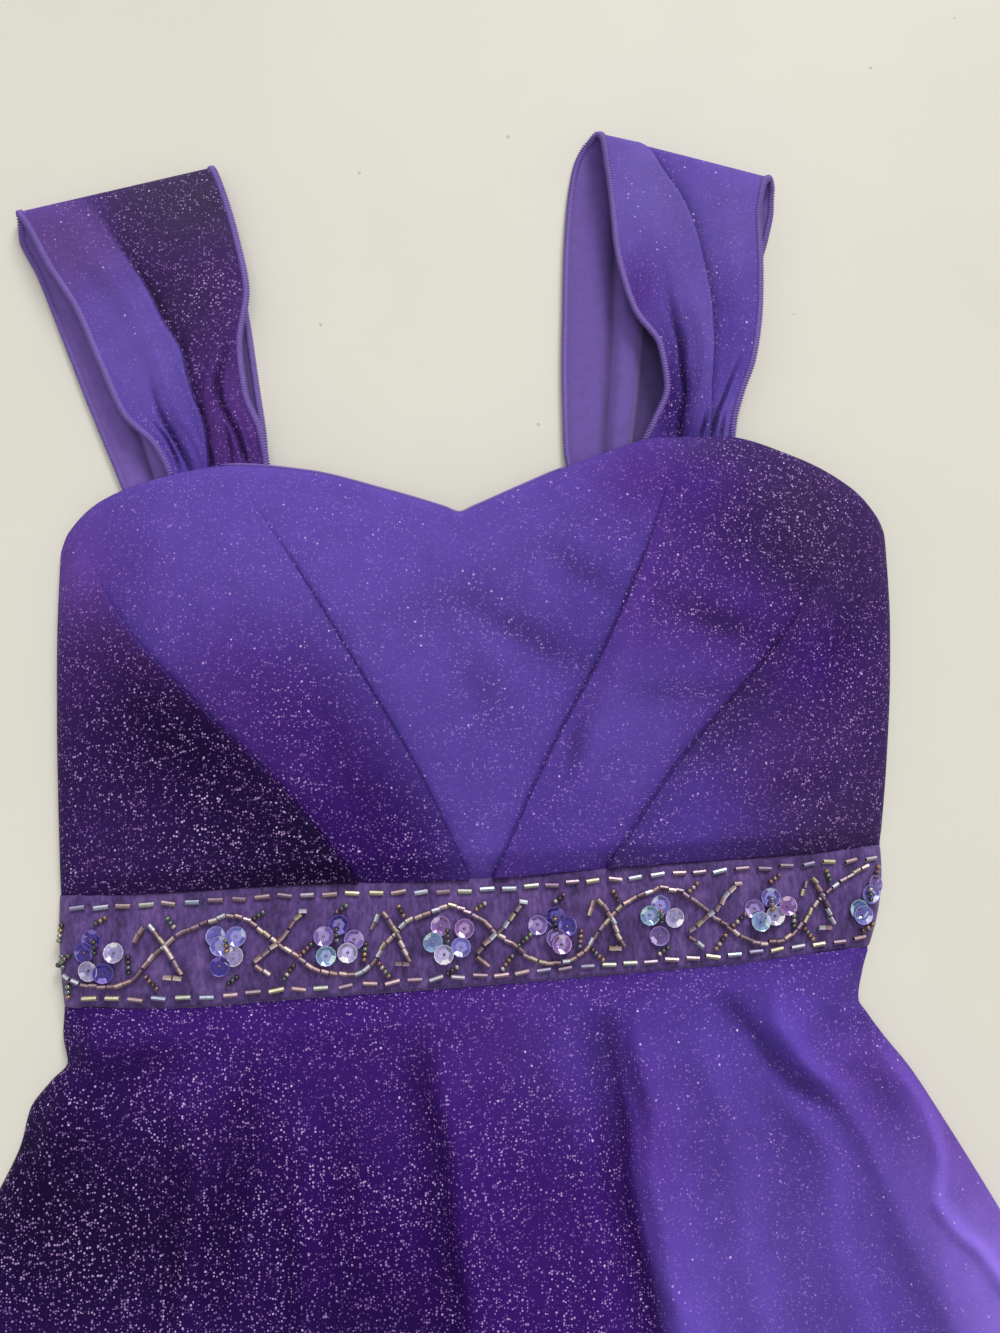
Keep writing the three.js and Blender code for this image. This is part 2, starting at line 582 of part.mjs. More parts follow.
// The skirt back opens for the zip down to the zip's end, then meets at the centre seam.
const skirtZipX = (y, side) => {
  const open = smoothStep(zipEndOnSkirt - 12, zipEndOnSkirt - 2, y);
  return zipLine + side * mix(seamGap / 2, zipWidth / 2 + seamGap, open);
};
function skirtBackSide(side) {
  return (up) => {
    const fall = 1 - up;
    const [x, y] = skirtPlan(fall, side < 0 ? 0 : 1);
    return [x - side * backInset, y];
  };
}
function skirtBackMiddle(side) {
  const [start, end] = [skirtSideAt(0, 'left'), skirtSideAt(0, 'right')];
  const across = (zipLine - start) / (end - start);
  return (up) => {
    const [, y] = skirtPlan(1 - up, across);
    return [skirtZipX(y, side), y];
  };
}
const skirtBackColumns = 5;
function skirtBack(name, side) {
  const nearer = side < 0 ? skirtBackSide(-1) : skirtBackMiddle(1);
  const farther = side < 0 ? skirtBackMiddle(-1) : skirtBackSide(1);
  const upAt = (share) => 1 - skirtFallAt(1 - share);
  const plan = (row, column) => {
    const up = upAt(row / skirtRowsDown);
    const [leftX, leftY] = nearer(up);
    const [rightX, rightY] = farther(up);
    const t = column / skirtBackColumns;
    const bow = (1 - up) * skirtLength * (Math.cos(hemTurnAt((side < 0 ? t : 1 + t) / 2))
      - mix(Math.cos(hemTurnAt(side < 0 ? 0 : 0.5)), Math.cos(hemTurnAt(side < 0 ? 0.5 : 1)), t));
    return [mix(leftX, rightX, t), mix(leftY, rightY, t) - bow];
  };
  const upper = (row, column) => [...plan(row, column), backWall];
  const lower = (row, column) => [...plan(row, column), 0];
  return wall(name, plum, skirtRowsDown, skirtBackColumns, upper, lower);
}
const skirtBackLeft = skirtBack('skirt_back_left', -1);
const skirtBackRight = skirtBack('skirt_back_right', 1);

// Closed zip down the centre back.
const zipTop = backTopAt(zipLine) - 1;
const backZip = laidBack('back_zip', zipPurple, 10, 2,
  (up) => [zipLine - zipWidth / 2, mix(zipEndOnSkirt, zipTop, up)],
  (up) => [zipLine + zipWidth / 2, mix(zipEndOnSkirt, zipTop, up)], 0, backWall);

// Gathers run along the cloth and die out at the shoulder.
function gatherAt(across, seed) {
  const wave = Math.sin((across * strapGathers + seed) * Math.PI * 2);
  const broad = Math.sin((across * broadGathers + seed * 1.7) * Math.PI * 2);
  return mix(wave, broad, broadGatherShare);
}
function strap(name, colour, sections, seed) {
  const stations = sections.map((row, index) => ({ ...row, along: index / (sections.length - 1) }));
  const read = (along, column) => tableAt(stations, 'along', along, column);
  const centreOf = (row, column) => {
    const along = row / strapRowsAlong;
    const across = column / strapColumns;
    const x = mix(read(along, (r) => r.left[0]), read(along, (r) => r.right[0]), across);
    const y = mix(read(along, (r) => r.left[1]), read(along, (r) => r.right[1]), across);
    const lift = read(along, (r) => r.lift);
    const crease = read(along, (r) => r.crease);
    const turn = THREE.MathUtils.degToRad(read(along, (r) => r.turn));
    const upright = Math.sin(turn) > 0 ? 1 : 0;
    const rises = upright ? gatherAt(across, seed) : 0.5 + 0.5 * gatherAt(across, seed + 0.3);
    return { x, y, z: lift + crease * rises, turn };
  };
  const offset = (distance) => (row, column) => {
    const p = centreOf(row, column);
    return [p.x, p.y + distance * Math.cos(p.turn), p.z + distance * Math.sin(p.turn)];
  };
  const [outer, inner] = [offset(strapWall / 2), offset(-strapWall / 2)];
  return wall(name, colour, strapRowsAlong, strapColumns, outer, inner);
}
const strapLeft = strap('strap_left', blueViolet, strapLeftSections, 0.1);
const strapRight = strap('strap_right', blueViolet, strapRightSections, 0.55);

// The dress, centred over the middle of its outline.
const dress = new THREE.Group();
dress.name = 'a_line_formal_dress';
dress.add(bodiceFront, bodiceBackLeft, bodiceBackRight);
dress.add(waistbandFront, waistbandBackLeft, waistbandBackRight);
dress.add(skirtFront, skirtBackLeft, skirtBackRight);
dress.add(backZip, strapLeft, strapRight);
const outline = new THREE.Box3().setFromObject(dress);
const middle = outline.getCenter(new THREE.Vector3());
dress.children.forEach((mesh) => mesh.geometry.translate(-middle.x, -middle.y, -outline.min.z));

export default dress;
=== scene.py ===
"""A-line formal dress laid out flat: glitter knit bodice and skirt, beaded waistband, gathered straps.

Tables are in millimetres of the laid dress: x to the right, y from hem to straps, both from the
middle of the waistband's top edge, and z up from the table.
"""
import math
import random

import bmesh
import bpy
import numpy as np
from mathutils import Matrix, Vector


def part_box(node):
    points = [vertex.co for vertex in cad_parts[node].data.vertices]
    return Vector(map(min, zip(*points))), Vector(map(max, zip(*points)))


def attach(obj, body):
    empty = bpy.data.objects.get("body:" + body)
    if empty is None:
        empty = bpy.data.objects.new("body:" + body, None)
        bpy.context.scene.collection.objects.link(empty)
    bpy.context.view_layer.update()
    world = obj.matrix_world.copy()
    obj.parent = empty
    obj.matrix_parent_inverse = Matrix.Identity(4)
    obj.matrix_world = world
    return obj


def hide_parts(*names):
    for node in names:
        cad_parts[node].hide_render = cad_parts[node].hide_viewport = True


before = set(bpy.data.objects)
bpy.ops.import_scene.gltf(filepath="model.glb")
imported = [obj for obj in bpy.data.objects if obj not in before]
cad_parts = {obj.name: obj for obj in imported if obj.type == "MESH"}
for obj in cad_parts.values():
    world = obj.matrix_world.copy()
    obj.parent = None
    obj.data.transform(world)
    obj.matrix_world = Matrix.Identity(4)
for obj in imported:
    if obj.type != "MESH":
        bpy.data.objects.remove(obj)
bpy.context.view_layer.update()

bl_info = {
    "name": "A-Line Formal Dress",
    "version": (1, 0, 0),
    "blender": (4, 5, 0),
    "location": "View3D > Sidebar > Dress",
    "description": "Makes a formal dress laid out flat, with beaded waistband and gathered straps",
    "category": "Add Mesh",
}

MM = 0.001
ZIP_HALF_WIDTH = 3.0
ZIP_TOP_Y = 125.0
ZIP_X = -3.0
zip_low, zip_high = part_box("back_zip")
SHIFT = np.array([zip_low.x + (ZIP_HALF_WIDTH - ZIP_X) * MM, zip_high.y - ZIP_TOP_Y * MM, 0.0])

# Camera and picture
CAMERA_LENS = 30.0
CAMERA_PLACE = (-30.2, 20.9, 447.1)
CAMERA_PITCH, CAMERA_YAW, CAMERA_ROLL = 8.0, -5.0, -2.28

# Colours, as seen (sRGB bytes)
PALETTE = {
    "light": (146, 118, 226),
    "blue": (97, 75, 174),
    "blue_mid": (82, 60, 156),
    "violet": (82, 46, 138),
    "purple": (61, 26, 116),
    "deep": (43, 8, 92),
    "night": (28, 8, 62),
    "ink": (20, 7, 46),
    "plum": (58, 40, 86),
    "plum_dark": (52, 29, 88),
    "grape": (74, 42, 116),
    "inside": (106, 80, 166),
    # a lighter, painted-lit copy of the inside colour
    "inside_lit": (122, 94, 184),
    "mist": (122, 104, 190),
    "lilac": (108, 68, 160),
    "dusk": (100, 72, 138),
    "soot": (64, 54, 87),
}

# Gap between pieces at a seam, and how far the fronts' cloth lies over the solids
SEAM_GAP = 0.3
LIFT = 0.25

# Bodice tables
RISES = (0.0, 0.25, 0.5, 0.75, 1.0)
BODICE_LINES = {
    "sideL": ((-163.5, 0.8), (-164.8, 33), (-165.8, 66), (-166.2, 100), (-165.6, 134)),
    "outerL": ((-50, 2), (-79, 39), (-109, 70), (-138, 103), (-160, 143)),
    "innerL": ((-7, 0.6), (-26.5, 43.4), (-49.7, 85.3), (-73.7, 126.6), (-99, 166.5)),
    "innerR": ((2, 0.8), (24, 44.7), (48.3, 87.5), (69, 132.4), (87, 177.5)),
    "outerR": ((47, 2.6), (75.8, 41.4), (107.8, 75.9), (137.6, 112.4), (162, 153.5)),
    "sideR": ((161.8, 6.2), (167.5, 40), (172, 75), (174.6, 107), (175.4, 136)),
}
PANEL_ENDS = ("sideL", "outerL", "innerL", "innerR", "outerR", "sideR")
PANEL_COLUMNS = (44, 40, 90, 40, 44)
BODICE_ROWS = 116
TOP_EDGE = (
    (-165.6, 134), (-161.5, 142.5), (-148, 154.5), (-128, 161.5), (-97, 167), (-67, 164),
    (-36, 155.8), (-12, 148.1), (-6, 145.8), (0, 148.2), (20, 156.8), (50, 169), (80, 177),
    (106, 177), (136, 167.8), (160, 155.5), (171, 143.5), (175.4, 136),
)
BODICE_RISE = ((0, 9.5), (0.06, 14.5), (0.16, 15), (0.5, 17), (0.85, 16), (0.96, 14.5), (1, 11.5))
# x, y, half width, half height, height
CUPS = ((-84, 104, 52, 46, 9), (90, 110, 52, 48, 9))
# share of a cup's height lost at the neckline, and the rise from which it is lost
CUP_LOSS, CUP_LOSS_FROM = 0.7, 0.86
# share of the height kept at the side seams, how far in it grows back, and the roll at the seam
SIDE_SHARE, SIDE_REACH, SIDE_ROLL = 0.55, 44, 11
# depth and reach of the roll at the neckline, from the length of the bodice
NECK_ROLL, NECK_ROLL_REACH, BODICE_LENGTH = 2.0, 2.2, 150
# panel that stands over the fold line, side it lies on, fades from and to along the rise
TUCKS = (
    ("outerL", -1, 0.66, 0.95), ("innerL", -1, 0.66, 0.95),
    ("innerR", 1, 0.66, 0.95), ("outerR", 1, 0.50, 0.84),
)
TUCK_STEP = 2.4
TUCK_FOLD_HALF = 0.14
# round edge and tail of the upper layer, then share and reach of the hollows beside it
TUCK_ROUND, TUCK_TAIL = 1.1, 22
TUCK_HOLLOWS = ((0.4, 7), (0.25, 1.2))
# x, y, turn in degrees, half length, half width, depth: soft troughs and swells
BODICE_DENTS = (
    (22, 95, -31, 25, 5.5, 1.4), (43, 121, -39, 17, 4.5, 1.1), (96, 98, -24, 22, 6, 1.6),
    (79, 70, -3, 21, 5, 1.0), (1, 76, -56, 20, 7, 0.8), (38, 53, -105, 12, 4, 1.2),
    (98, 53, 22, 10, 4, 0.6), (125, 59, -28, 12, 4, 0.6), (-52, 47, -71, 46, 2.4, 0.5),
    (59, 91, -107, 46, 3.6, -1.1), (-118, 62, -48, 32, 13, 0.9), (-128, 20, -12, 26, 8, -0.7),
    (128, 32, 20, 24, 9, 0.8), (150, 92, 70, 26, 9, 0.8), (112, 18, 8, 24, 6, -0.6),
    (-30, 28, -40, 20, 8, 0.5), (-10, 110, 20, 30, 11, 0.6),
)

# Waistband tables
# across, top x, top y, bottom x, bottom y, x half way down
BAND_ROWS = (
    (0.00, -164.0, 0.0, -161.6, -41.3, -163.6), (0.12, -125, 0.2, -124, -43.6, -125),
    (0.27, -76, 1.0, -75.5, -42.3, -76), (0.48, -6, 0.0, -8, -41.0, -7),
    (0.66, 51, 2.2, 48, -39.3, 49.8), (0.84, 109, 3.8, 105, -37.2, 107.4),
    (0.95, 146, 5.2, 139, -35.0, 143.5), (1.00, 161.8, 6.0, 153.8, -33.6, 160.0),
)
BAND_COLUMNS, BAND_ROWS_DOWN = 330, 34
BAND_HEIGHT = 10.0
BAND_EDGE_DIP = 1.4
BAND_ROLL = 8.0
# share of the height kept at the ends, and how far in it grows back
BAND_END_SHARE, BAND_END_REACH = 0.72, 0.2
# depth and reach of the rolled top and bottom edges
BAND_LIP, BAND_LIP_REACH = 1.1, 2.4
# how deep a row of stitches pulls the pile in, how much that changes along it, and its half width
STITCH_PULL, STITCH_WAVE, STITCH_REACH = 0.35, 0.25, 1.7
TOP_STITCH_DOWN, BOTTOM_STITCH_DOWN = 4.9, 4.1
STITCH_PITCH = 8.7
STITCH_START = -155.5

# Skirt tables
# fall, left x, right x
SKIRT_SIDES = (
    (0.000, -161.6, 153.6), (0.020, -162.0, 150.0), (0.042, -160.2, 147.6), (0.055, -166.0, 151.0),
    (0.075, -173.5, 157.5), (0.100, -176.5, 166.5), (0.135, -184.5, 176.5), (0.210, -204, 196.5),
    (0.600, -302, 294), (1.000, -415, 408),
)
SKIRT_LENGTH = 550.0
HEM_TURN = (-29.0, 29.5)
SKIRT_RISE = ((0, 9), (0.02, 13), (0.06, 12), (0.15, 11), (0.4, 10.4), (1, 10))
SKIRT_LOWEST = 7.2
# height at the side seams, how far in it grows back, and the roll at the seam
SKIRT_SIDE_HEIGHT, SKIRT_SIDE_REACH, SKIRT_ROLL = 5.0, 15, 5
# how far the seam rows go under the waistband, and how much lower the skirt's lies
UNDER_BAND, SKIRT_UNDER_DEPTH = 0.9, 2.2
SKIRT_COLUMNS, SKIRT_ROWS = 260, 170
FOLD_FALLS = (0.0, 0.07, 0.14, 0.22, 1.0)
# share across at each of FOLD_FALLS, where it starts and is full grown, height near the waist
# and at the hem, half width left and right near the waist, and at the hem
SKIRT_FOLDS = (
    ((0.697, 0.696, 0.668, 0.667, 0.640), 0.010, 0.07, 7.5, 12, 4.2, 22, 34),
    ((0.660, 0.661, 0.636, 0.642, 0.600), 0.005, 0.06, -4.2, -2, 8, 3.2, 12),
    ((0.588, 0.603, 0.606, 0.600, 0.560), 0.010, 0.06, 2.4, 3, 7, 10, 20),
    ((0.750, 0.742, 0.728, 0.720, 0.700), 0.030, 0.07, -1.8, -1, 9, 8, 14),
    ((0.775, 0.775, 0.762, 0.740, 0.720), 0.020, 0.06, 2.2, 4, 7, 8, 18),
    ((0.865, 0.880, 0.904, 0.900, 0.890), 0.000, 0.05, 5.5, 8, 6, 11, 32),
    ((0.810, 0.826, 0.815, 0.776, 0.740), 0.070, 0.12, -1.5, -1, 7, 9, 16),
    ((0.830, 0.830, 0.858, 0.828, 0.830), 0.085, 0.12, 3.5, 7, 7, 8, 24),
    ((0.960, 0.960, 0.935, 0.890, 0.850), 0.060, 0.12, -2.4, -1, 13, 9, 16),
    ((0.140, 0.185, 0.204, 0.228, 0.180), 0.020, 0.07, 3.6, 8, 10, 8, 28),
    ((0.130, 0.165, 0.184, 0.200, 0.120), 0.070, 0.13, -2.4, -1, 6, 5, 12),
    ((0.200, 0.238, 0.236, 0.246, 0.230), 0.030, 0.07, -2.8, -1, 6, 6, 12),
    ((0.290, 0.301, 0.310, 0.338, 0.320), 0.050, 0.10, 3.0, 8, 7, 11, 28),
    ((0.270, 0.285, 0.294, 0.312, 0.270), 0.110, 0.17, -1.6, -1, 5, 4, 12),
    ((0.330, 0.336, 0.354, 0.360, 0.370), 0.060, 0.10, -1.8, -1, 6, 5, 12),
    ((0.400, 0.438, 0.447, 0.465, 0.430), 0.020, 0.07, -4.2, -2, 7, 4.5, 12),
    ((0.440, 0.466, 0.471, 0.478, 0.480), 0.020, 0.07, 4.0, 9, 4.5, 17, 30),
)
# short crisp creases of the skirt: path as fall and share across, half width left and right, height
SKIRT_CREASES = (
    (((0.060, 0.674), (0.124, 0.657), (0.178, 0.649), (0.207, 0.659), (0.240, 0.682)), 1.8, 4.0, 1.6),
    (((0.005, 0.785), (0.047, 0.838), (0.070, 0.857), (0.096, 0.872), (0.125, 0.895)), 6.0, 4.2, -2.9),
    (((0.000, 0.870), (0.053, 0.872), (0.080, 0.886), (0.115, 0.935)), 5.0, 7.0, 1.4),
    (((0.070, 0.986), (0.098, 0.980), (0.119, 0.982), (0.149, 0.973), (0.178, 0.947), (0.191, 0.937),
      (0.211, 0.941), (0.229, 0.953), (0.300, 0.965)), 2.6, 5.0, 3.4),
    (((0.170, 0.935), (0.221, 0.912), (0.247, 0.895), (0.330, 0.875)), 6.0, 4.0, -1.0),
)
# dents and swells of the skirt: x, y, turn in degrees, half length, half width, height
SKIRT_DENTS = (
    (150, -61, 12, 15, 5, -3.0), (122, -56, 35, 20, 7, 2.2), (140, -76, -30, 18, 6, 1.6),
    (-136, -66, 22, 26, 9, -2.6), (-163, -80, 50, 16, 9, 2.6), (-120, -54, 6, 26, 6, 1.4),
    (60, -52, 4, 30, 6, 1.0), (-50, -54, 2, 44, 5, 0.8), (0, -56, 6, 20, 6, 0.7),
)

# Strap tables
# left x, left y, right x, right y, lift, turn of the outer face
STRAPS = {"left": (
    (-120.5, 154.5, -82.5, 158, 8.3, 90), (-121.5, 164, -83, 168, 8.3, 90),
    (-127, 176, -85, 181, 9.6, 90), (-138.5, 188, -91, 198, 10.2, 90),
    (-148, 209, -93, 219, 10.2, 90), (-158, 233, -90, 241, 9.8, 90),
    (-170, 253, -94, 265, 9.2, 90), (-177.5, 268, -99, 284, 8.8, 80),
    (-182, 275.2, -103, 295.4, 7.6, 45), (-183.6, 277.6, -104.5, 298.6, 4.8, 0),
    (-184.0, 275.4, -104, 296.0, 1.9, -45), (-183.5, 268, -101, 288, 0.8, -90),
    (-176, 252, -96, 264, 0.8, -90), (-166, 226, -91, 232, 0.8, -90),
    (-155.5, 198, -87.5, 204, 0.8, -90), (-146, 174, -84.5, 178, 0.9, -90),
    (-138, 154, -84, 156, 1.1, -90), (-131, 137, -86, 138, 2.3, -90),
    (-128, 127, -88, 127.5, 2.65, -90), (-127, 119, -88.5, 119.5, 2.65, -90),
), "right": (
    (71.5, 164.5, 109.5, 165, 8.3, 90), (71.8, 174, 110, 175, 8.3, 90),
    (76.5, 184, 111, 184.5, 9.8, 90), (82.6, 199, 114.5, 196, 11, 90),
    (80.5, 216, 120.5, 211, 12, 90), (70, 233, 125, 234, 12.5, 90),
    (64, 260, 126.5, 254, 13, 90), (62.8, 284, 127, 273, 13.4, 90),
    (61.5, 299, 129, 284, 13.2, 78), (60.8, 310.5, 132, 291.5, 11.2, 42),
    (58.8, 315, 136, 295, 7.0, 0), (55.6, 313, 138, 292, 2.6, -45),
    (51.2, 305.6, 137.5, 284, 0.8, -90), (47.6, 291, 134.5, 272, 0.8, -90),
    (44.5, 267, 130, 258, 0.8, -90), (42.2, 235, 126, 234, 0.8, -90),
    (40.5, 205, 119, 206, 0.8, -90), (40, 176, 108, 178, 0.9, -90),
    (44, 155, 101, 156, 1.1, -90), (51, 137, 96, 138, 2.3, -90),
    (54, 127, 94.5, 127.5, 2.65, -90), (55, 119, 94, 119.5, 2.65, -90),
)}
SHOULDER_ROW = {"left": 9, "right": 10}


# Small helpers
def linear(colour):
    """Linear colour from sRGB bytes."""
    c = np.asarray(colour, float) / 255
    return np.where(c <= 0.04045, c / 12.92, ((c + 0.055) / 1.055) ** 2.4)


def smooth_step(start, end, value):
    t = np.clip((np.asarray(value, float) - start) / (end - start), 0, 1)
    return t * t * (3 - 2 * t)


def curve_at(places, values, at):
    """Smooth curve through a short table, which never overshoots its rows."""
    p, v = np.asarray(places, float), np.asarray(values, float)
    at = np.clip(at, p[0], p[-1])
    gaps = np.diff(p)
    rises = np.diff(v) / gaps
    before, after = rises[:-1], rises[1:]
    total = np.where(np.abs(before + after) < 1e-12, 1, before + after)
    inner = np.where(before * after <= 0, 0, 2 * before * after / total)
    slopes = np.concatenate(([rises[0]], inner, [rises[-1]]))
    row = np.clip(np.searchsorted(p, at, side="right") - 1, 0, len(gaps) - 1)
    t = (at - p[row]) / gaps[row]
    return (v[row] * (2 * t**3 - 3 * t**2 + 1) + v[row + 1] * (3 * t**2 - 2 * t**3)
            + slopes[row] * gaps[row] * (t**3 - 2 * t**2 + t)
            + slopes[row + 1] * gaps[row] * (t**3 - t**2))


def column(table, index):
    return [row[index] for row in table]


def bump_at(x, y, place, turn, half_length, half_width):
    """Height of an oval soft swell of height 1."""
    c, s = math.cos(math.radians(turn)), math.sin(math.radians(turn))
    along = ((x - place[0]) * c + (y - place[1]) * s) / half_length
    aside = (-(x - place[0]) * s + (y - place[1]) * c) / half_width
    return np.exp(-(along**2) - aside**2)


def mesh_from(name, bm):
    """Mesh of a finished bmesh, which is freed."""
    mesh = bpy.data.meshes.new(name)
    bm.to_mesh(mesh)
    bm.free()
    return mesh


def new_object(name, data):
    obj = bpy.data.objects.new(name, data)
    bpy.context.scene.collection.objects.link(obj)
    return obj


def grid_cloth(name, points, **paints):
    """A sheet of cloth whose corners take the places and the linear colours at [row, column]."""
    rows, columns = points.shape[0] - 1, points.shape[1] - 1
    bm = bmesh.new()
    bmesh.ops.create_grid(bm, x_segments=columns, y_segments=rows, size=0.5)
    mesh = mesh_from(name, bm)
    co = np.empty(len(mesh.vertices) * 3)
    mesh.vertices.foreach_get("co", co)
    co = co.reshape(-1, 3)
    row = np.rint((co[:, 1] + 0.5) * rows).astype(int)
    col = np.rint((co[:, 0] + 0.5) * columns).astype(int)
    mesh.vertices.foreach_set("co", (points[row, col] * MM + SHIFT).astype(np.float32).ravel())
    mesh.update()
    mesh.shade_smooth()
    for layer, colours in paints.items():
        values = np.ones((len(co), 4), np.float32)
        values[:, :3] = colours[row, col]
        mesh.color_attributes.new(layer, "FLOAT_COLOR", "POINT").data.foreach_set("color", values.ravel())
    return new_object(name, mesh)


def clouds(x, y, base, table):
    """Soft patches of colour of a table, laid one over another on a base colour."""
    colour = np.ones(x.shape + (3,)) * linear(PALETTE[base])
    for cx, cy, wide, tall, turn, tone, strength in table:
        share = strength * bump_at(x, y, (cx, cy), turn, wide, tall)[..., None]
        colour = colour * (1 - share) + linear(PALETTE[tone]) * share
    return colour


def made(*names):
    """Result of an operator, which fails if one of its pieces isn't there or is empty."""
    for name in names:
        obj = bpy.data.objects.get(name)
        if obj is None or not obj.data.polygons:
            raise RuntimeError(f"{name} wasn't made")
    return {"FINISHED"}


def tucked(rise, reach, z, depth):
    """How far a seam row lies under the waistband, and the height of the cloth with that taken off."""
    under = 1 - smooth_step(0, reach, rise)
    return under, z - depth * under * np.clip(z / 6, 0, 1)


def settle(obj, nodes, material):
    """Puts a finished piece on the frame."""
    obj.data.materials.append(material)
    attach(obj, "root")
    if nodes:
        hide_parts(*nodes)
    return obj


def cloth_piece(node, points, thickness, slot, material, ending="_cloth", **paints):
    """A sheet of thick cloth in the place of its solid."""
    obj = grid_cloth(node + ending, points, **paints)
    solid = obj.modifiers.new("Cloth", "SOLIDIFY")
    solid.thickness = thickness
    solid.offset = -1
    return settle(obj, [node], material)


def eased(count, by):
    """Steps from 0 to 1 that lie closer together at both ends."""
    steps = np.linspace(0, 1, count + 1)
    return (1 - by) * steps + by * (0.5 - 0.5 * np.cos(np.pi * steps))


# Garment surfaces
def table_at(table, at, value=1, place=0):
    """Smooth value from two columns of a table."""
    return curve_at(column(table, place), column(table, value), at)


def share_in(near, reach, least):
    """Share of full height, from least at an edge to 1 at a reach from it."""
    return least + (1 - least) * smooth_step(0, reach, near)


def line_at(name, rise):
    points = BODICE_LINES[name]
    return curve_at(RISES, column(points, 0), rise), curve_at(RISES, column(points, 1), rise)


def band_top_at(x):
    return table_at(BAND_ROWS, x, 2, place=1)


def band_bottom_at(x):
    return table_at(BAND_ROWS, x, 4, place=3)


def rounded(near, reach):
    """Share of full height near an edge that rounds down to nothing."""
    return np.sqrt(np.clip(1 - (1 - np.clip(near / reach, 0, 1)) ** 2, 0, 1))


def bodice_plan():
    """Plan of the bodice front: x, y, rise and panel for each grid corner."""
    rise = eased(BODICE_ROWS, 0.6)[:, None]
    xs, ys, panels = [], [], []
    for panel, count in enumerate(PANEL_COLUMNS):
        share = eased(count, 1)[None, :]
        left_gap = 0 if panel == 0 else TUCK_FOLD_HALF
        right_gap = 0 if panel == len(PANEL_COLUMNS) - 1 else TUCK_FOLD_HALF
        places = []
        for level in (rise, 1.0, 0.0):
            (x0, y0), (x1, y1) = (line_at(PANEL_ENDS[panel + k], level) for k in (0, 1))
            x = (x0 + left_gap) * (1 - share) + (x1 - right_gap) * share
            places.append((x, y0 * (1 - share) + y1 * share))
        (x, y), (top_x, top_y), (foot_x, foot_y) = places
        y = y + rise**2 * (table_at(TOP_EDGE, top_x) - top_y)
        y = y + (1 - rise)**2 * (band_top_at(foot_x) + SEAM_GAP - foot_y)
        xs.append(x)
        ys.append(y)
        panels.append(np.full(x.shape, panel))
    x, y, panel = (np.concatenate(parts, axis=1) for parts in (xs, ys, panels))
    return x, y, np.broadcast_to(rise, x.shape), panel


def bodice_height(x, y, rise, panel):
    height = table_at(BODICE_RISE, rise)
    for cx, cy, wide, tall, tall_by in CUPS:
        away = ((x - cx) / wide) ** 2 + ((y - cy) / tall) ** 2
        height = height + tall_by * np.exp(-away) * (1 - CUP_LOSS * smooth_step(CUP_LOSS_FROM, 1, rise))
    near = np.minimum(x - line_at("sideL", rise)[0], line_at("sideR", rise)[0] - x)
    height = height * share_in(near, SIDE_REACH, SIDE_SHARE)
    for dx, dy, turn, half_length, half_width, depth in BODICE_DENTS:
        height = height - depth * bump_at(x, y, (dx, dy), turn, half_length, half_width)
    for name, side, fade_from, fade_to in TUCKS:
        stand = TUCK_STEP * (1 - smooth_step(fade_from, fade_to, rise))
        outward = (x - line_at(name, rise)[0]) * side
        index = PANEL_ENDS.index(name)
        over = panel >= index if side > 0 else panel < index
        fold = rounded(np.maximum(outward, 0) + 0.05, TUCK_ROUND)
        fold = fold * np.exp(-np.maximum(outward, 0) / TUCK_TAIL)
        under = sum(share * np.exp(np.minimum(outward, 0) / reach) for share, reach in TUCK_HOLLOWS)
        height = height + stand * np.where(over, fold, -under)
    edge = (1 - rise) * BODICE_LENGTH
    height = height - NECK_ROLL * (1 - rounded(edge, NECK_ROLL_REACH))
    return height * rounded(near, SIDE_ROLL) + LIFT


def band_point(across, down):
    """Outer face of the waistband front, down from 0 at its top edge to 1 at its bottom edge."""
    top_x, top_y, low_x, low_y, mid_x = (table_at(BAND_ROWS, across, k) for k in range(1, 6))
    straight = top_x * (1 - down) + low_x * down
    x = straight + (mid_x - (top_x + low_x) / 2) * 4 * down * (1 - down)
    y = top_y * (1 - down) + low_y * down
    (edge_left, edge_right) = (band_edge(side, down) for side in (0.0, 1.0))
    near = np.minimum(x - edge_left, edge_right - x)
    crown = BAND_HEIGHT * share_in(np.minimum(across, 1 - across), BAND_END_REACH, BAND_END_SHARE)
    z = crown - BAND_EDGE_DIP * (2 * down - 1) ** 2
    wave = np.sin(x / STITCH_PITCH * 2 * np.pi + 1.3 * np.sin(x / 31))
    pucker = 0.22 * wave * (0.4 + 0.6 * (2 * down - 1) ** 2)
    pucker = pucker + 0.16 * np.sin(x / 5.3 + y / 9) * np.sin(y / 4.1 + x / 23)
    tall = top_y - low_y
    for from_edge in (down * tall - TOP_STITCH_DOWN, (1 - down) * tall - BOTTOM_STITCH_DOWN):
        pulled = STITCH_PULL + STITCH_WAVE * np.cos((x - STITCH_START) / STITCH_PITCH * 2 * np.pi)
        pucker = pucker - pulled * np.exp(-((from_edge / STITCH_REACH) ** 2))
    lip = BAND_LIP * (1 - rounded(np.minimum(down, 1 - down) * tall, BAND_LIP_REACH))
    return x, y, (z + pucker - lip) * rounded(near, BAND_ROLL) + LIFT


def band_edge(side, down):
    row = BAND_ROWS[0] if side < 0.5 else BAND_ROWS[-1]
    straight = row[1] * (1 - down) + row[3] * down
    return straight + (row[5] - (row[1] + row[3]) / 2) * 4 * down * (1 - down)


def skirt_sides(fall):
    """Left and right edge of the skirt front."""
    return (table_at(SKIRT_SIDES, fall, k) for k in (1, 2))


def fall_at(down):
    """Share of the fall to the hem, with rows that lie closer together near the waist."""
    return 0.55 * down**1.6 + 0.45 * down**3


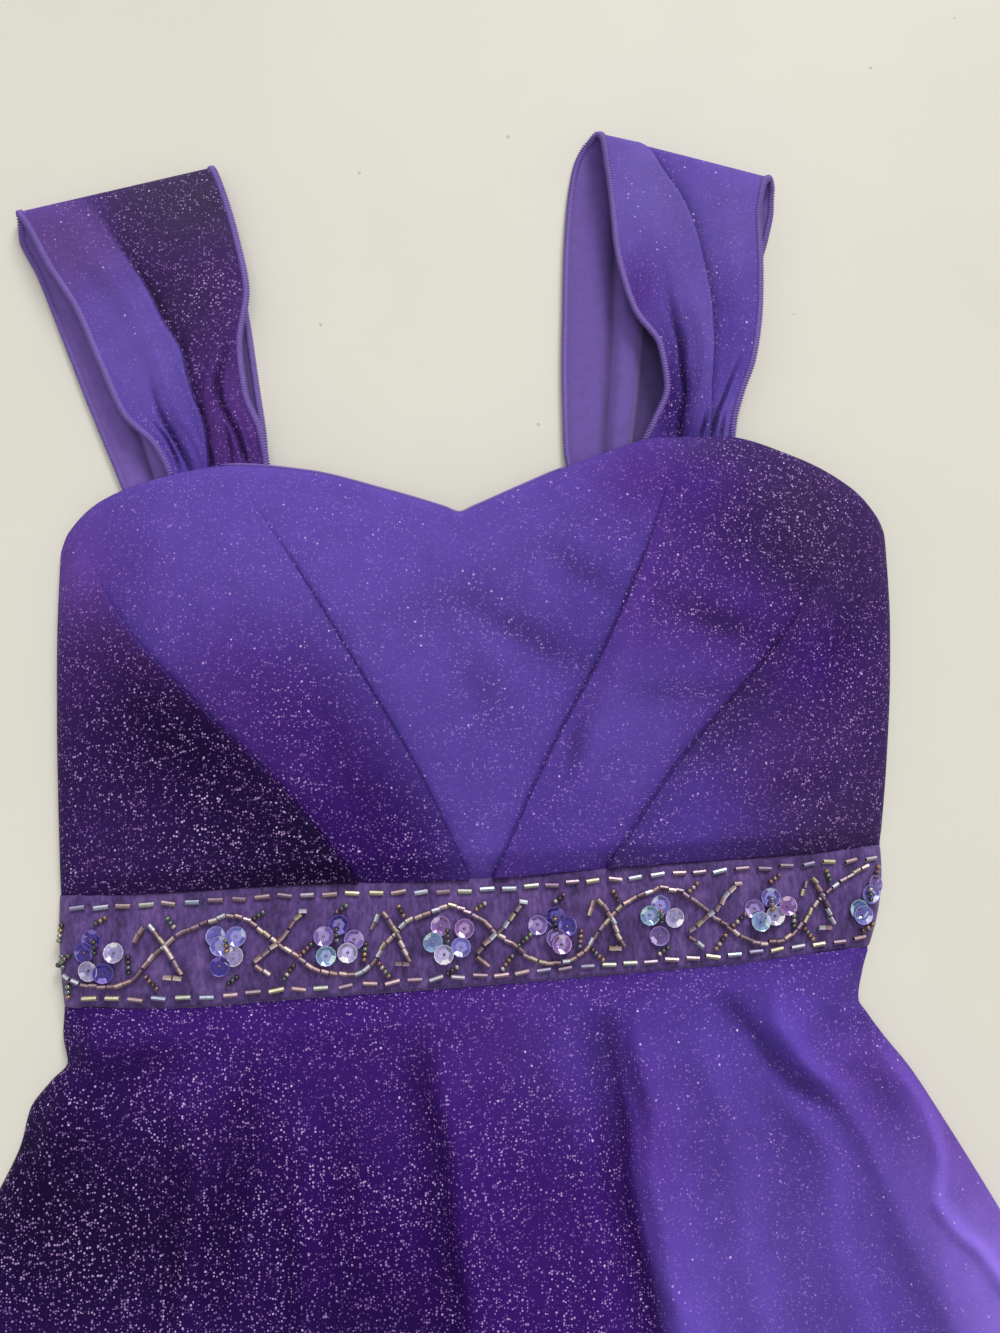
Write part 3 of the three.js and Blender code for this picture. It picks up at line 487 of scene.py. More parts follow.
def skirt_plan(fall, across):
    x, waist_x = (left * (1 - across) + right * across for left, right in map(skirt_sides, (fall, 0.0)))
    turn = np.radians(HEM_TURN[0] * (1 - across) + HEM_TURN[1] * across)
    return x, band_bottom_at(waist_x) - SEAM_GAP - fall * SKIRT_LENGTH * np.cos(turn)


def skirt_folds(fall, x):
    """Height of each fold of the skirt front, over the cloth between the folds."""
    left, right = skirt_sides(fall)
    down = smooth_step(0.12, 0.8, fall)
    for shares, start, grown, high, hem_high, half_left, half_right, hem_half in SKIRT_FOLDS:
        away = x - left - (right - left) * curve_at(FOLD_FALLS, shares, fall)
        reach = np.where(away < 0, half_left, half_right) * (1 - down) + hem_half * down
        here = (high * (1 - down) + hem_high * down) * smooth_step(start, grown, fall)
        yield high, here * np.exp(-((away / reach) ** 2))


def skirt_creases(fall, x):
    """Height of each short crease of the skirt front."""
    left, right = skirt_sides(fall)
    for path, half_left, half_right, high in SKIRT_CREASES:
        falls = column(path, 0)
        away = x - left - (right - left) * table_at(path, fall)
        ends = smooth_step(falls[0], falls[0] + 0.03, fall)
        ends = ends * (1 - smooth_step(falls[-1] - 0.04, falls[-1], fall))
        yield high, high * ends * np.exp(-((away / np.where(away < 0, half_left, half_right)) ** 2))


def skirt_height(fall, x, y):
    left, right = skirt_sides(fall)
    height = table_at(SKIRT_RISE, fall)
    height = height + sum(fold for _, fold in skirt_folds(fall, x))
    height = height + sum(crease for _, crease in skirt_creases(fall, x))
    for dx, dy, turn, half_length, half_width, high in SKIRT_DENTS:
        height = height + high * bump_at(x, y, (dx, dy), turn, half_length, half_width)
    near = np.minimum(x - left, right - x)
    share = smooth_step(0, SKIRT_SIDE_REACH, near)
    height = SKIRT_SIDE_HEIGHT * (1 - share) + np.maximum(height, SKIRT_LOWEST) * share
    return height * rounded(near, SKIRT_ROLL) + LIFT


# Materials
# cells to a metre, widest radius as a share of a cell, share of cells that hold a flake, how rare
# a bright one is
# the flakes' pale colour is their own; their random brightness is a painted glint
FINE_FLAKES = (1050, 0.50, 0.97, 1.3)
COARSE_FLAKES = (460, 0.25, 0.72, 2.2)
# how sharp a flake's edge is, and how bright the dimmest is
FLAKE_EDGE, FLAKE_DIMMEST = 22.0, 0.14
# metallic, roughness, coat
BEAD_LOOKS = {
    "bugle_glass": (0.25, 0.42, 0.35), "sequin_foil": (0.2, 0.16, 1.0),
    "seed_metal": (0.6, 0.22, 0.9),
}


def add(tree, kind, **values):
    node = tree.nodes.new(kind)
    for key, value in values.items():
        setattr(node, key, value)
    return node


def put(tree, node, values):
    """Sets or links the inputs of a node."""
    for name, value in values.items():
        if isinstance(value, bpy.types.NodeSocket):
            tree.links.new(value, node.inputs[name])
        else:
            node.inputs[name].default_value = value
    return node


def new_material(name):
    """A material, its tree, its shader and the piece's own coordinates."""
    material = bpy.data.materials.new(name)
    material.use_nodes = True
    tree = material.node_tree
    place = add(tree, "ShaderNodeTexCoord").outputs["Object"]
    return material, tree, tree.nodes["Principled BSDF"], place


def rgba(colour, share=1.0):
    return (*[float(v) for v in linear(colour) * share], 1.0)


def stored_colour(tree, name):
    return add(tree, "ShaderNodeAttribute", attribute_name=name).outputs["Color"]


def pattern(tree, kind, place, values, **choices):
    """A pattern laid over the piece's own coordinates."""
    return put(tree, add(tree, "ShaderNodeTex" + kind, **choices), {"Vector": place, **values})


def noise(tree, place, scale, detail=2.0, **more):
    return pattern(tree, "Noise", place, {"Scale": scale, "Detail": detail, **more}).outputs["Fac"]


def maths(tree, operation, *values, clamp=False):
    node = add(tree, "ShaderNodeMath", operation=operation, use_clamp=clamp)
    return put(tree, node, dict(enumerate(values))).outputs[0]


def mix_colour(tree, share, first, second):
    node = add(tree, "ShaderNodeMix", data_type="RGBA")
    return put(tree, node, {0: share, 6: first, 7: second}).outputs[2]


def shaded(tree, colour, tone):
    """A colour made lighter or darker by a tone."""
    node = add(tree, "ShaderNodeVectorMath", operation="SCALE")
    return put(tree, node, {0: colour, "Scale": tone}).outputs[0]


def relief(tree, height, strength, distance):
    node = add(tree, "ShaderNodeBump")
    return put(tree, node, {"Strength": strength, "Distance": distance, "Height": height}).outputs[0]


def flakes(tree, place, scale, radius, kept, rarity):
    """Brightness of small round flakes, about one in each cell of a pattern, painted as glints; few are
    bright.
    """
    cells = pattern(tree, "Voronoi", place, {"Scale": scale, "Randomness": 1.0})
    split = put(tree, add(tree, "ShaderNodeSeparateColor"), {0: cells.outputs["Color"]})
    size, chance, light = split.outputs[:3]
    inside = maths(tree, "SUBTRACT", maths(tree, "MULTIPLY", size, radius), cells.outputs["Distance"])
    mask = maths(tree, "MULTIPLY", inside, FLAKE_EDGE, clamp=True)
    mask = maths(tree, "MULTIPLY", mask, maths(tree, "GREATER_THAN", chance, 1 - kept))
    bright = maths(tree, "POWER", light, rarity)
    lit = maths(tree, "MULTIPLY_ADD", bright, 1 - FLAKE_DIMMEST, FLAKE_DIMMEST)
    return maths(tree, "MULTIPLY", mask, lit)


def knit_material(name, colours, glitter):
    """Fine stretch knit in its stored ombre with painted shade and highlights, and glued glitter flakes."""
    material, tree, shader, place = new_material(name)
    ombre = stored_colour(tree, "ombre")
    ribs = pattern(tree, "Wave", place, {"Scale": 420, "Distortion": 1.2, "Detail Scale": 3},
                   bands_direction="X")
    rows = pattern(tree, "Wave", place, {"Scale": 520, "Distortion": 1.0}, bands_direction="Y")
    weave = maths(tree, "MULTIPLY", ribs.outputs["Fac"], rows.outputs["Fac"])
    tone = maths(tree, "MULTIPLY_ADD", noise(tree, place, 90, 5), 0.34, 0.80)
    tone = maths(tree, "MULTIPLY_ADD", weave, 0.12, tone)
    # the fine flakes come in drifts and are faint on light cloth
    thick = maths(tree, "MULTIPLY_ADD", noise(tree, place, 26, 3), 2.0, -0.12, clamp=True)
    lightness = put(tree, add(tree, "ShaderNodeRGBToBW"), {0: ombre}).outputs[0]
    faint = maths(tree, "SUBTRACT", 1.06, maths(tree, "MULTIPLY", lightness, 6.0), clamp=True)
    thick = maths(tree, "MULTIPLY", thick, maths(tree, "MAXIMUM", faint, 0.35))
    fine = maths(tree, "MULTIPLY", flakes(tree, place, *FINE_FLAKES), 0.95)
    fine = maths(tree, "MULTIPLY", fine, thick)
    coarse = flakes(tree, place, *COARSE_FLAKES)
    mask = maths(tree, "MULTIPLY", maths(tree, "MAXIMUM", fine, coarse), glitter)
    # brighter flakes take the cool white as painted glints, dimmer ones the warm violet
    coolness = maths(tree, "POWER", mask, 1.7)
    spark = mix_colour(tree, coolness, rgba(colours.glitter_warm), rgba(colours.glitter_cool))
    height = maths(tree, "ADD", weave, maths(tree, "MULTIPLY", mask, 0.8))
    put(tree, shader, {
        "Base Color": mix_colour(tree, mask, shaded(tree, ombre, tone), spark),
        "Roughness": maths(tree, "SUBTRACT", 0.66, maths(tree, "MULTIPLY", mask, 0.36)),
        "Specular IOR Level": 0.06, "Sheen Weight": 0.02, "Sheen Roughness": 0.5,
        "Sheen Tint": (0.5, 0.35, 1.0, 1), "Normal": relief(tree, height, 0.32, 0.0004),
    })
    return material


def plain_knit_material(name, tone_name):
    """Matte wrong side of the knit, in a stored colour that holds painted shade and light."""
    material, tree, shader, place = new_material(name)
    wear = noise(tree, place, 260, 6)
    colour = shaded(tree, stored_colour(tree, tone_name), maths(tree, "MULTIPLY_ADD", wear, 0.4, 0.8))
    put(tree, shader, {"Base Color": colour, "Roughness": 0.85, "Sheen Weight": 0.3,
                       "Normal": relief(tree, wear, 0.25, 0.0003)})
    return material


def band_material(name, colours):
    """Soft crushed pile of the waistband, streaked across the grain."""
    material, tree, shader, place = new_material(name)
    mapping = put(tree, add(tree, "ShaderNodeMapping"), {"Vector": place, "Scale": (1.0, 0.4, 1.0)})
    stretch = mapping.outputs[0]
    streaks = noise(tree, stretch, 620, 6, Roughness=0.7)
    patches = noise(tree, stretch, 120, 4)
    grade = maths(tree, "ADD", maths(tree, "MULTIPLY", streaks, 0.55), maths(tree, "MULTIPLY", patches, 0.45))
    ramp = put(tree, add(tree, "ShaderNodeValToRGB"), {0: grade})
    stops = ((0.36, colours.band_dark), (0.50, colours.band), (0.66, colours.band_light))
    for index, (stop, colour) in enumerate(stops):
        elements = ramp.color_ramp.elements
        element = elements[index] if index < 2 else elements.new(stop)
        element.position = stop
        element.color = rgba(colour)
    put(tree, shader, {"Base Color": ramp.outputs[0], "Roughness": 0.9, "Sheen Weight": 0.3,
                       "Sheen Tint": (0.72, 0.62, 0.95, 1), "Normal": relief(tree, grade, 0.8, 0.0007)})
    return material


def bead_material(name):
    """Glass or foil in the colour stored on each bead, a little mottled; on bugles and sequins that colour
    holds painted highlights and shade.
    """
    material, tree, shader, place = new_material(name)
    metallic, roughness, coat = BEAD_LOOKS[name]
    tone = maths(tree, "MULTIPLY_ADD", noise(tree, place, 1100), 0.9, 0.55)
    put(tree, shader, {"Base Color": shaded(tree, stored_colour(tree, "bead"), tone), "Metallic": metallic,
                       "Roughness": roughness, "Coat Weight": coat, "Coat Roughness": 0.05})
    return material


def thread_material(name, colour):
    """Matte thread or tape, a little uneven in colour."""
    material, tree, shader, place = new_material(name)
    tint = mix_colour(tree, noise(tree, place, 700), rgba(colour, 0.7), rgba(colour, 1.25))
    put(tree, shader, {"Base Color": tint, "Roughness": 0.6, "Sheen Weight": 0.2})
    return material


def floor_material(name, colours):
    """Pale painted board with faint specks."""
    material, tree, shader, place = new_material(name)
    board = colours.table
    cloud = mix_colour(tree, noise(tree, place, 14, 8), rgba(board, 0.95), rgba(board, 1.03))
    specks = pattern(tree, "Voronoi", place, {"Scale": 34}).outputs["Distance"]
    spot = maths(tree, "MULTIPLY", maths(tree, "LESS_THAN", specks, 0.03), 0.45)
    put(tree, shader, {"Base Color": mix_colour(tree, spot, cloud, rgba(board, 0.35)), "Roughness": 0.55})
    return material


def shared(name, make, *values):
    """The material of a name, made when it is first asked for."""
    return bpy.data.materials.get(name) or make(name, *values)


def knit(scene):
    return shared("glitter_knit", knit_material, scene.dress_colours, scene.dress_sizes.glitter)


def pile(scene):
    return shared("band_pile", band_material, scene.dress_colours)


# Settings
def colour_setting(name, description, value):
    return bpy.props.IntVectorProperty(
        name=name, description=description, size=3, default=value, min=0, max=255)


def length_setting(name, description, millimetres):
    return bpy.props.FloatProperty(
        name=name, description=description, default=millimetres * MM, unit="LENGTH")


class DressSizes(bpy.types.PropertyGroup):
    cloth: length_setting("Cloth", "Thickness of the knit", 0.9)
    padding: length_setting("Padded front", "Thickness of the padded bodice front", 1.8)
    bugle_length: length_setting("Bugle length", "Length of one bugle bead", 5.9)
    vine_length: length_setting("Vine bugle length", "Length of one short bugle of the vine", 3.2)
    bugle_width: length_setting("Bugle width", "Width of one bugle bead", 1.95)
    seed_width: length_setting("Seed width", "Width of one seed bead", 2.3)
    sequin_width: length_setting("Sequin width", "Width of one sequin", 7.7)
    edge_width: length_setting("Strap edge", "Width of the overlocked strap edge", 2.8)
    glitter: bpy.props.FloatProperty(
        name="Glitter", description="How strongly the flakes show", default=0.9, min=0, max=1,
        subtype="FACTOR")


class DressColours(bpy.types.PropertyGroup):
    table: colour_setting("Table", "Board that the dress lies on", (230, 228, 218))
    band: colour_setting("Band", "Pile of the waistband", (84, 60, 124))
    band_dark: colour_setting("Band shade", "Pile brushed away from the light", (48, 28, 74))
    band_light: colour_setting("Band light", "Pile brushed to the light", (120, 92, 158))
    glitter_cool: colour_setting("Cool flakes", "Bright lilac white flakes", (238, 224, 255))
    glitter_warm: colour_setting("Warm flakes", "Dimmer violet pink flakes", (198, 138, 240))
    edge_thread: colour_setting("Edge thread", "Overlocked strap edges", (118, 90, 178))
    zip_tape: colour_setting("Zip tape", "Tape of the centre back zip", (44, 28, 74))


# Ombre of the cloth, with painted shade and highlights
BODICE_BASE = ("plum_dark", "blue", "blue", "violet", "plum")
# x, y, half width, half height, turn, colour, strength
BODICE_CLOUDS = (
    ((-158, 128, 36, 28, 0, "lilac", 0.9), (-128, 96, 26, 18, -45, "grape", 0.8),
     (-160, 84, 20, 22, 0, "grape", 0.5), (-70, 14, 66, 34, -20, "ink", 0.9),
     (-110, 50, 40, 26, -40, "night", 0.9), (-150, 20, 40, 30, 0, "plum_dark", 0.5)),
    ((-60, 30, 60, 42, -50, "deep", 1.0), (-36, 10, 34, 22, -40, "deep", 0.8),
     (-92, 74, 46, 24, -50, "violet", 0.9), (-70, 62, 30, 20, -50, "purple", 0.6),
     (-128, 124, 44, 30, -40, "blue", 0.7), (-140, 122, 20, 20, 0, "violet", 0.4)),
    ((-60, 130, 70, 30, -20, "blue", 0.6), (44, 104, 22, 44, -15, "blue_mid", 0.8),
     (70, 156, 26, 22, 20, "violet", 0.9), (-6, 40, 40, 40, 0, "blue_mid", 0.5),
     (20, 130, 40, 20, 10, "blue", 0.4)),
    ((122, 134, 40, 32, 0, "night", 0.95), (136, 116, 15, 17, -40, "ink", 0.6),
     (136, 150, 30, 40, 0, "plum", 0.9),
     (84, 158, 24, 22, 0, "purple", 0.9), (108, 98, 30, 16, -35, "purple", 0.7),
     (56, 52, 50, 34, 50, "blue", 1.0), (28, 18, 30, 28, 40, "blue_mid", 0.9),
     (86, 98, 22, 14, 0, "violet", 0.7), (100, 172, 34, 10, 0, "plum", 0.7)),
    ((168, 110, 26, 50, 0, "plum", 1.0), (176, 50, 20, 60, 0, "plum_dark", 0.7),
     (134, 78, 30, 22, 40, "purple", 0.95), (84, 22, 44, 28, 30, "blue_mid", 1.0),
     (122, 40, 34, 24, 30, "grape", 0.7), (150, 14, 30, 14, 0, "plum", 0.8)),
)
SKIRT_LOW_CLOUDS = (
    (-210, -270, 90, 80, 0, "purple", 0.9), (40, -300, 80, 70, 0, "deep", 0.9),
    (-60, -420, 120, 90, 0, "blue", 0.9), (210, -330, 90, 80, 0, "purple", 0.9),
    (-300, -430, 90, 90, 0, "night", 0.8), (120, -500, 120, 70, 0, "night", 0.85),
    (330, -460, 90, 80, 0, "blue", 0.9), (-160, -540, 100, 60, 0, "violet", 0.9),
)
SKIRT_LEFT_CLOUDS = (
    (-110, -56, 80, 14, 0, "purple", 0.8), (-168, -110, 40, 70, 0, "ink", 0.95),
    (-120, -124, 76, 56, 0, "ink", 0.9), (-60, -62, 60, 18, 0, "purple", 0.7),
    (-30, -150, 62, 70, 0, "deep", 1.0), (-58, -180, 44, 46, 0, "ink", 0.7),
    (10, -62, 40, 26, 0, "violet", 0.7), (36, -66, 26, 30, 0, "blue_mid", 0.7),
    (10, -120, 30, 50, 0, "purple", 0.6), (-28, -84, 26, 26, 0, "purple", 0.6),
)
SKIRT_RIGHT_CLOUDS = (
    (100, -70, 80, 40, 0, "blue_mid", 1.0), (110, -160, 90, 80, 0, "blue", 1.0),
    (150, -74, 26, 14, 0, "violet", 0.6), (150, -180, 24, 40, 8, "blue_mid", 0.7),
    (206, -186, 30, 84, 22, "light", 0.9), (186, -108, 14, 30, 20, "lilac", 0.6),
    (150, -92, 16, 12, 0, "violet", 0.4), (48, -92, 22, 30, 0, "violet", 0.5),
)
STRAP_CLOUDS = {
    "left": (
        ("blue", ((-164, 262, 36, 30, 0, "dusk", 0.9), (-132, 214, 24, 36, 30, "mist", 0.35),
                  (-112, 180, 24, 20, 0, "blue_mid", 0.4))),
        ("grape", ((-112, 284, 46, 32, 0, "soot", 1.0), (-116, 236, 22, 30, 20, "plum", 0.9),
                   (-94, 190, 15, 30, 0, "lilac", 0.3))),
    ),
    "right": (
        ("blue", ((84, 290, 30, 40, 0, "mist", 0.75), (100, 220, 14, 40, 0, "mist", 0.35),
                  (70, 236, 10, 24, -20, "violet", 0.8), (84, 192, 11, 30, 0, "deep", 0.85))),
        ("blue", ((118, 270, 30, 34, 0, "mist", 0.45), (112, 225, 12, 26, 0, "blue_mid", 0.5),
                  (108, 180, 12, 14, 0, "mist", 0.5))),
    ),
}
# tuck line, and how dark its painted shade is low, half way and at its faded end
TUCK_SHADES = {
    "outerL": (0.35, 0.30, 0.10), "innerL": (0.28, 0.52, 0.26),
    "innerR": (0.30, 0.45, 0.20), "outerR": (0.25, 0.45, 0.15),
}


def bodice_shade(x, y, rise):
    """How deep in painted shade each place of the bodice front lies, beside its tucks and in its hollows;
    below zero on the swells, which are painted lighter.
    """
    shade = np.zeros(x.shape)
    for name, side, fade_from, fade_to in TUCKS:
        away = x - line_at(name, rise)[0]
        dark = curve_at((0, 0.5 * fade_to, fade_to), TUCK_SHADES[name], rise)
        dark = dark * (1 - smooth_step(fade_from, fade_to, rise))
        behind = np.where(away * side < 0, np.exp(-np.abs(away) / 5.5), 0)
        shade = shade + dark * (0.74 * np.exp(-((away / 0.85) ** 2)) + 0.34 * behind)
    for dx, dy, turn, half_length, half_width, depth in BODICE_DENTS:
        hollow = bump_at(x, y, (dx - 1.5, dy - 2.0), turn, half_length, half_width)
        shade = shade + (0.34 if depth > 0 else 0.12) * depth * hollow
    return np.clip(shade, -0.15, 0.75)


def bodice_colours(x, y, rise, panel):
    """Ombre of each panel, which runs on into the next one where the tuck between them fades out, then
    darkened by painted shade beside the tucks and in the hollows and lightened on the swells.
    """
    colours = np.zeros(x.shape + (3,))
    for index, (base, table) in enumerate(zip(BODICE_BASE, BODICE_CLOUDS)):
        here = panel == index
        colours[here] = clouds(x[here], y[here], base, table)
    for name, side, fade_from, fade_to in TUCKS:
        index = PANEL_ENDS.index(name)
        away = x - line_at(name, rise)[0]
        share = 0.5 * np.exp(-np.abs(away) / 15) * smooth_step(fade_from - 0.05, fade_to + 0.04, rise)
        other = np.where(panel >= index, index - 1, index)
        for k in (index - 1, index):
            here = (other == k) & (share > 0.01)
            tone = clouds(x[here], y[here], BODICE_BASE[k], BODICE_CLOUDS[k])
            colours[here] = colours[here] * (1 - share[here, None]) + tone * share[here, None]
    return colours * (1 - bodice_shade(x, y, rise))[..., None]


class DRESS_OT_bodice_front(bpy.types.Operator):
    """Padded sweetheart bodice front with its four diagonal tucks"""
    bl_idname = "dress.bodice_front"
    bl_label = "Bodice front"

    def execute(self, context):
        scene = context.scene
        x, y, rise, panel = bodice_plan()
        under, z = tucked(rise, 0.012, bodice_height(x, y, rise, panel), 1.0)
        y = y - UNDER_BAND * under
        obj = cloth_piece("bodice_front", np.stack([x, y, z], -1), scene.dress_sizes.padding,
                          "bodice_knit", knit(scene), ombre=bodice_colours(x, y, rise, panel))
        return made("bodice_front_cloth")


# Back panels and zip
BACK_HEIGHT = 1.15


def back_half(scene, node, slot, material, counts, plan, creases, patches):
    """A flat back panel on the table, with a few low creases pressed into it."""
    up, across = np.meshgrid(*(np.linspace(0, 1, count + 1) for count in counts), indexing="ij")
    x, y = plan(up, across)
    z = np.full(x.shape, BACK_HEIGHT)
    for cx, cy, turn, half_length, half_width, height in creases:
        z = z + height * bump_at(x, y, (cx, cy), turn, half_length, half_width)
    return cloth_piece(node, np.stack([x, y, z], -1), scene.dress_sizes.cloth, slot, material,
                       ombre=clouds(x, y, "purple", patches))


BACK_INSET = 3.1
BODICE_BACK_INSET = 3.8
BACK_TOP_SIDE, BACK_TOP_ZIP = 132.0, 126.0
ZIP_CLEAR = ZIP_HALF_WIDTH + SEAM_GAP
HALF_SEAM = SEAM_GAP / 2
ZIP_END_Y = -150.0


def spread(side, across, middle_x, middle_y, edge_x, edge_y):
    """Places between the centre back and the side edge of a back half."""
    share = across if side > 0 else 1 - across
    return middle_x + (edge_x - middle_x) * share, middle_y + (edge_y - middle_y) * share


def bodice_back_plan(side):
    def plan(up, across):
        line = "sideL" if side < 0 else "sideR"
        foot = float(band_top_at(line_at(line, 0.0)[0])) + SEAM_GAP
        edge_y = foot + up * (BACK_TOP_SIDE - foot)
        rise = (edge_y - foot) / (float(line_at(line, 1.0)[1]) - foot)
        edge_x = line_at(line, rise)[0] - side * BODICE_BACK_INSET
        middle_x = np.full(up.shape, ZIP_X + side * ZIP_CLEAR)
        low = band_top_at(middle_x) + SEAM_GAP
        return spread(side, across, middle_x, low + up * (BACK_TOP_ZIP - low), edge_x, edge_y)
    return plan


def band_back_plan(side):
    def plan(up, across):
        edge_x = band_edge(0.0 if side < 0 else 1.0, 1 - up) - side * BACK_INSET
        row = BAND_ROWS[0] if side < 0 else BAND_ROWS[-1]
        edge_y = row[4] + (row[2] - row[4]) * up
        middle_x = np.full(up.shape, ZIP_X + side * ZIP_CLEAR)
        low, high = band_bottom_at(middle_x), band_top_at(middle_x)
        return spread(side, across, middle_x, low + (high - low) * up, edge_x, edge_y)
    return plan


def skirt_back_plan(side):
    def plan(up, across):
        fall = fall_at(1 - up)
        left, right = skirt_sides(0.0)
        zip_share = (ZIP_X - left) / (right - left)
        end = 0.0 if side < 0 else 1.0
        share = across if side > 0 else 1 - across
        edge_x = skirt_plan(fall, end)[0] - side * BACK_INSET
        y = skirt_plan(fall, zip_share + (end - zip_share) * share)[1]
        opened = smooth_step(ZIP_END_Y - 12, ZIP_END_Y - 2, y)
        middle_x = ZIP_X + side * (HALF_SEAM + (ZIP_CLEAR - HALF_SEAM) * opened)
        return spread(side, across, middle_x, y, edge_x, y)
    return plan


class DRESS_OT_backs(bpy.types.Operator):
    """Back panels of bodice, waistband and skirt, and the closed zip between them"""
    bl_idname = "dress.backs"
    bl_label = "Back panels and zip"

    def execute(self, context):
        scene = context.scene
        for side, word in ((-1, "left"), (1, "right")):
            creases = [(side * 90, 70, 70 * side, 50, 10, 0.35), (side * 60, 30, 20, 40, 9, 0.3)]
            patch = (side * 120, 80, 60, 60, 0, "plum", 0.8)
            obj = back_half(scene, f"bodice_back_{word}", "bodice_knit", knit(scene), (40, 50),
                            bodice_back_plan(side), creases, [patch])
            obj = back_half(scene, f"waistband_back_{word}", "band_velvet", pile(scene), (16, 50),
                            band_back_plan(side), [], [])
            creases = [(side * 120, -260, -side * 72, 150, 14, 0.35),
                       (side * 210, -380, -side * 64, 120, 16, 0.35),
                       (side * 50, -420, -side * 84, 130, 14, 0.3)]
            obj = back_half(scene, f"skirt_back_{word}", "skirt_knit", knit(scene), (90, 70),
                            skirt_back_plan(side), creases, SKIRT_LOW_CLOUDS)
        zip_piece(scene)
        parts = ("bodice", "waistband", "skirt")
        halves = [f"{part}_back_{word}_cloth" for part in parts for word in ("left", "right")]
        return made("back_zip_tape", *halves)


# across and height of the zip: tape, tooth line, closed middle
ZIP_ACROSS = (-3.0, -2.2, -0.5, -0.22, 0.0, 0.22, 0.5, 2.2, 3.0)
ZIP_HEIGHTS = (1.1, 1.2, 1.35, 1.2, 0.9, 1.2, 1.35, 1.2, 1.1)
ZIP_STEPS = 220


def zip_piece(scene):
    """Two tape edges with the closed line of a concealed zip between them."""
    places = np.linspace(ZIP_END_Y, ZIP_TOP_Y, ZIP_STEPS + 1), ZIP_X + np.array(ZIP_ACROSS)
    y, x = np.meshgrid(*places, indexing="ij")
    points = np.stack([x, y, np.broadcast_to(ZIP_HEIGHTS, x.shape)], -1)
    tape = shared("zip_tape", thread_material, scene.dress_colours.zip_tape)
    obj = cloth_piece("back_zip", points, scene.dress_sizes.cloth, "zip_tape", tape, ending="_tape")


class DRESS_OT_waistband(bpy.types.Operator):
    """Waistband front in soft crushed pile"""
    bl_idname = "dress.waistband"
    bl_label = "Waistband"

    def execute(self, context):
        scene = context.scene
        down = np.linspace(1, 0, BAND_ROWS_DOWN + 1)
        down, across = np.meshgrid(down, eased(BAND_COLUMNS, 0.25), indexing="ij")
        obj = cloth_piece("waistband_front", np.stack(band_point(across, down), -1), scene.dress_sizes.cloth,
                          "band_velvet", pile(scene))
        return made("waistband_front_cloth")


def skirt_colours(x, y, fall, across):
    """Ombre of the skirt front, with painted shade in its troughs and a painted highlight on its ridges; the
    print jumps where the middle fold swallows some cloth.
    """
    left = clouds(x, y, "purple", SKIRT_LEFT_CLOUDS + SKIRT_LOW_CLOUDS)
    right = clouds(x, y, "purple", SKIRT_RIGHT_CLOUDS + SKIRT_LOW_CLOUDS)
    edge_left, edge_right = skirt_sides(fall)
    away = (across - curve_at(FOLD_FALLS, SKIRT_FOLDS[0][0], fall)) * (edge_right - edge_left) + 6.5
    soft = 24 - 22 * smooth_step(0.02, 0.12, fall) + 60 * smooth_step(0.35, 0.7, fall)
    share = smooth_step(-1, 1, away / soft)[..., None]
    # painted shade in the troughs, creases and dents, painted highlight on the ridges and swells
    shade = np.zeros(x.shape)
    for high, fold in skirt_folds(fall, x):
        shade = shade - (0.08 if high < 0 else 0.036) * fold
    for high, crease in skirt_creases(fall, x):
        shade = shade - (0.10 if high < 0 else 0.14) * crease
    for dx, dy, turn, half_length, half_width, high in SKIRT_DENTS:
        dent = high * bump_at(x, y, (dx, dy), turn, half_length, half_width)
        shade = shade - (0.08 if high < 0 else 0.03) * dent
    return (left * (1 - share) + right * share) * (1 - np.clip(shade, -0.42, 0.62))[..., None]


class DRESS_OT_skirt_front(bpy.types.Operator):
    """Flared skirt front with its fan of soft folds"""
    bl_idname = "dress.skirt_front"
    bl_label = "Skirt front"

    def execute(self, context):
        scene = context.scene
        fall = fall_at(np.linspace(1, 0, SKIRT_ROWS + 1))
        fall, across = np.meshgrid(fall, eased(SKIRT_COLUMNS, 0.2), indexing="ij")
        x, y = skirt_plan(fall, across)
        under, z = tucked(fall, 0.0035, skirt_height(fall, x, y), SKIRT_UNDER_DEPTH)
        y = y + UNDER_BAND * under
        obj = cloth_piece("skirt_front", np.stack([x, y, z], -1), scene.dress_sizes.cloth,
                          "skirt_knit", knit(scene), ombre=skirt_colours(x, y, fall, across))
        return made("skirt_front_cloth")


# Straps
STRAP_ROWS, STRAP_COLUMNS = 180, 110
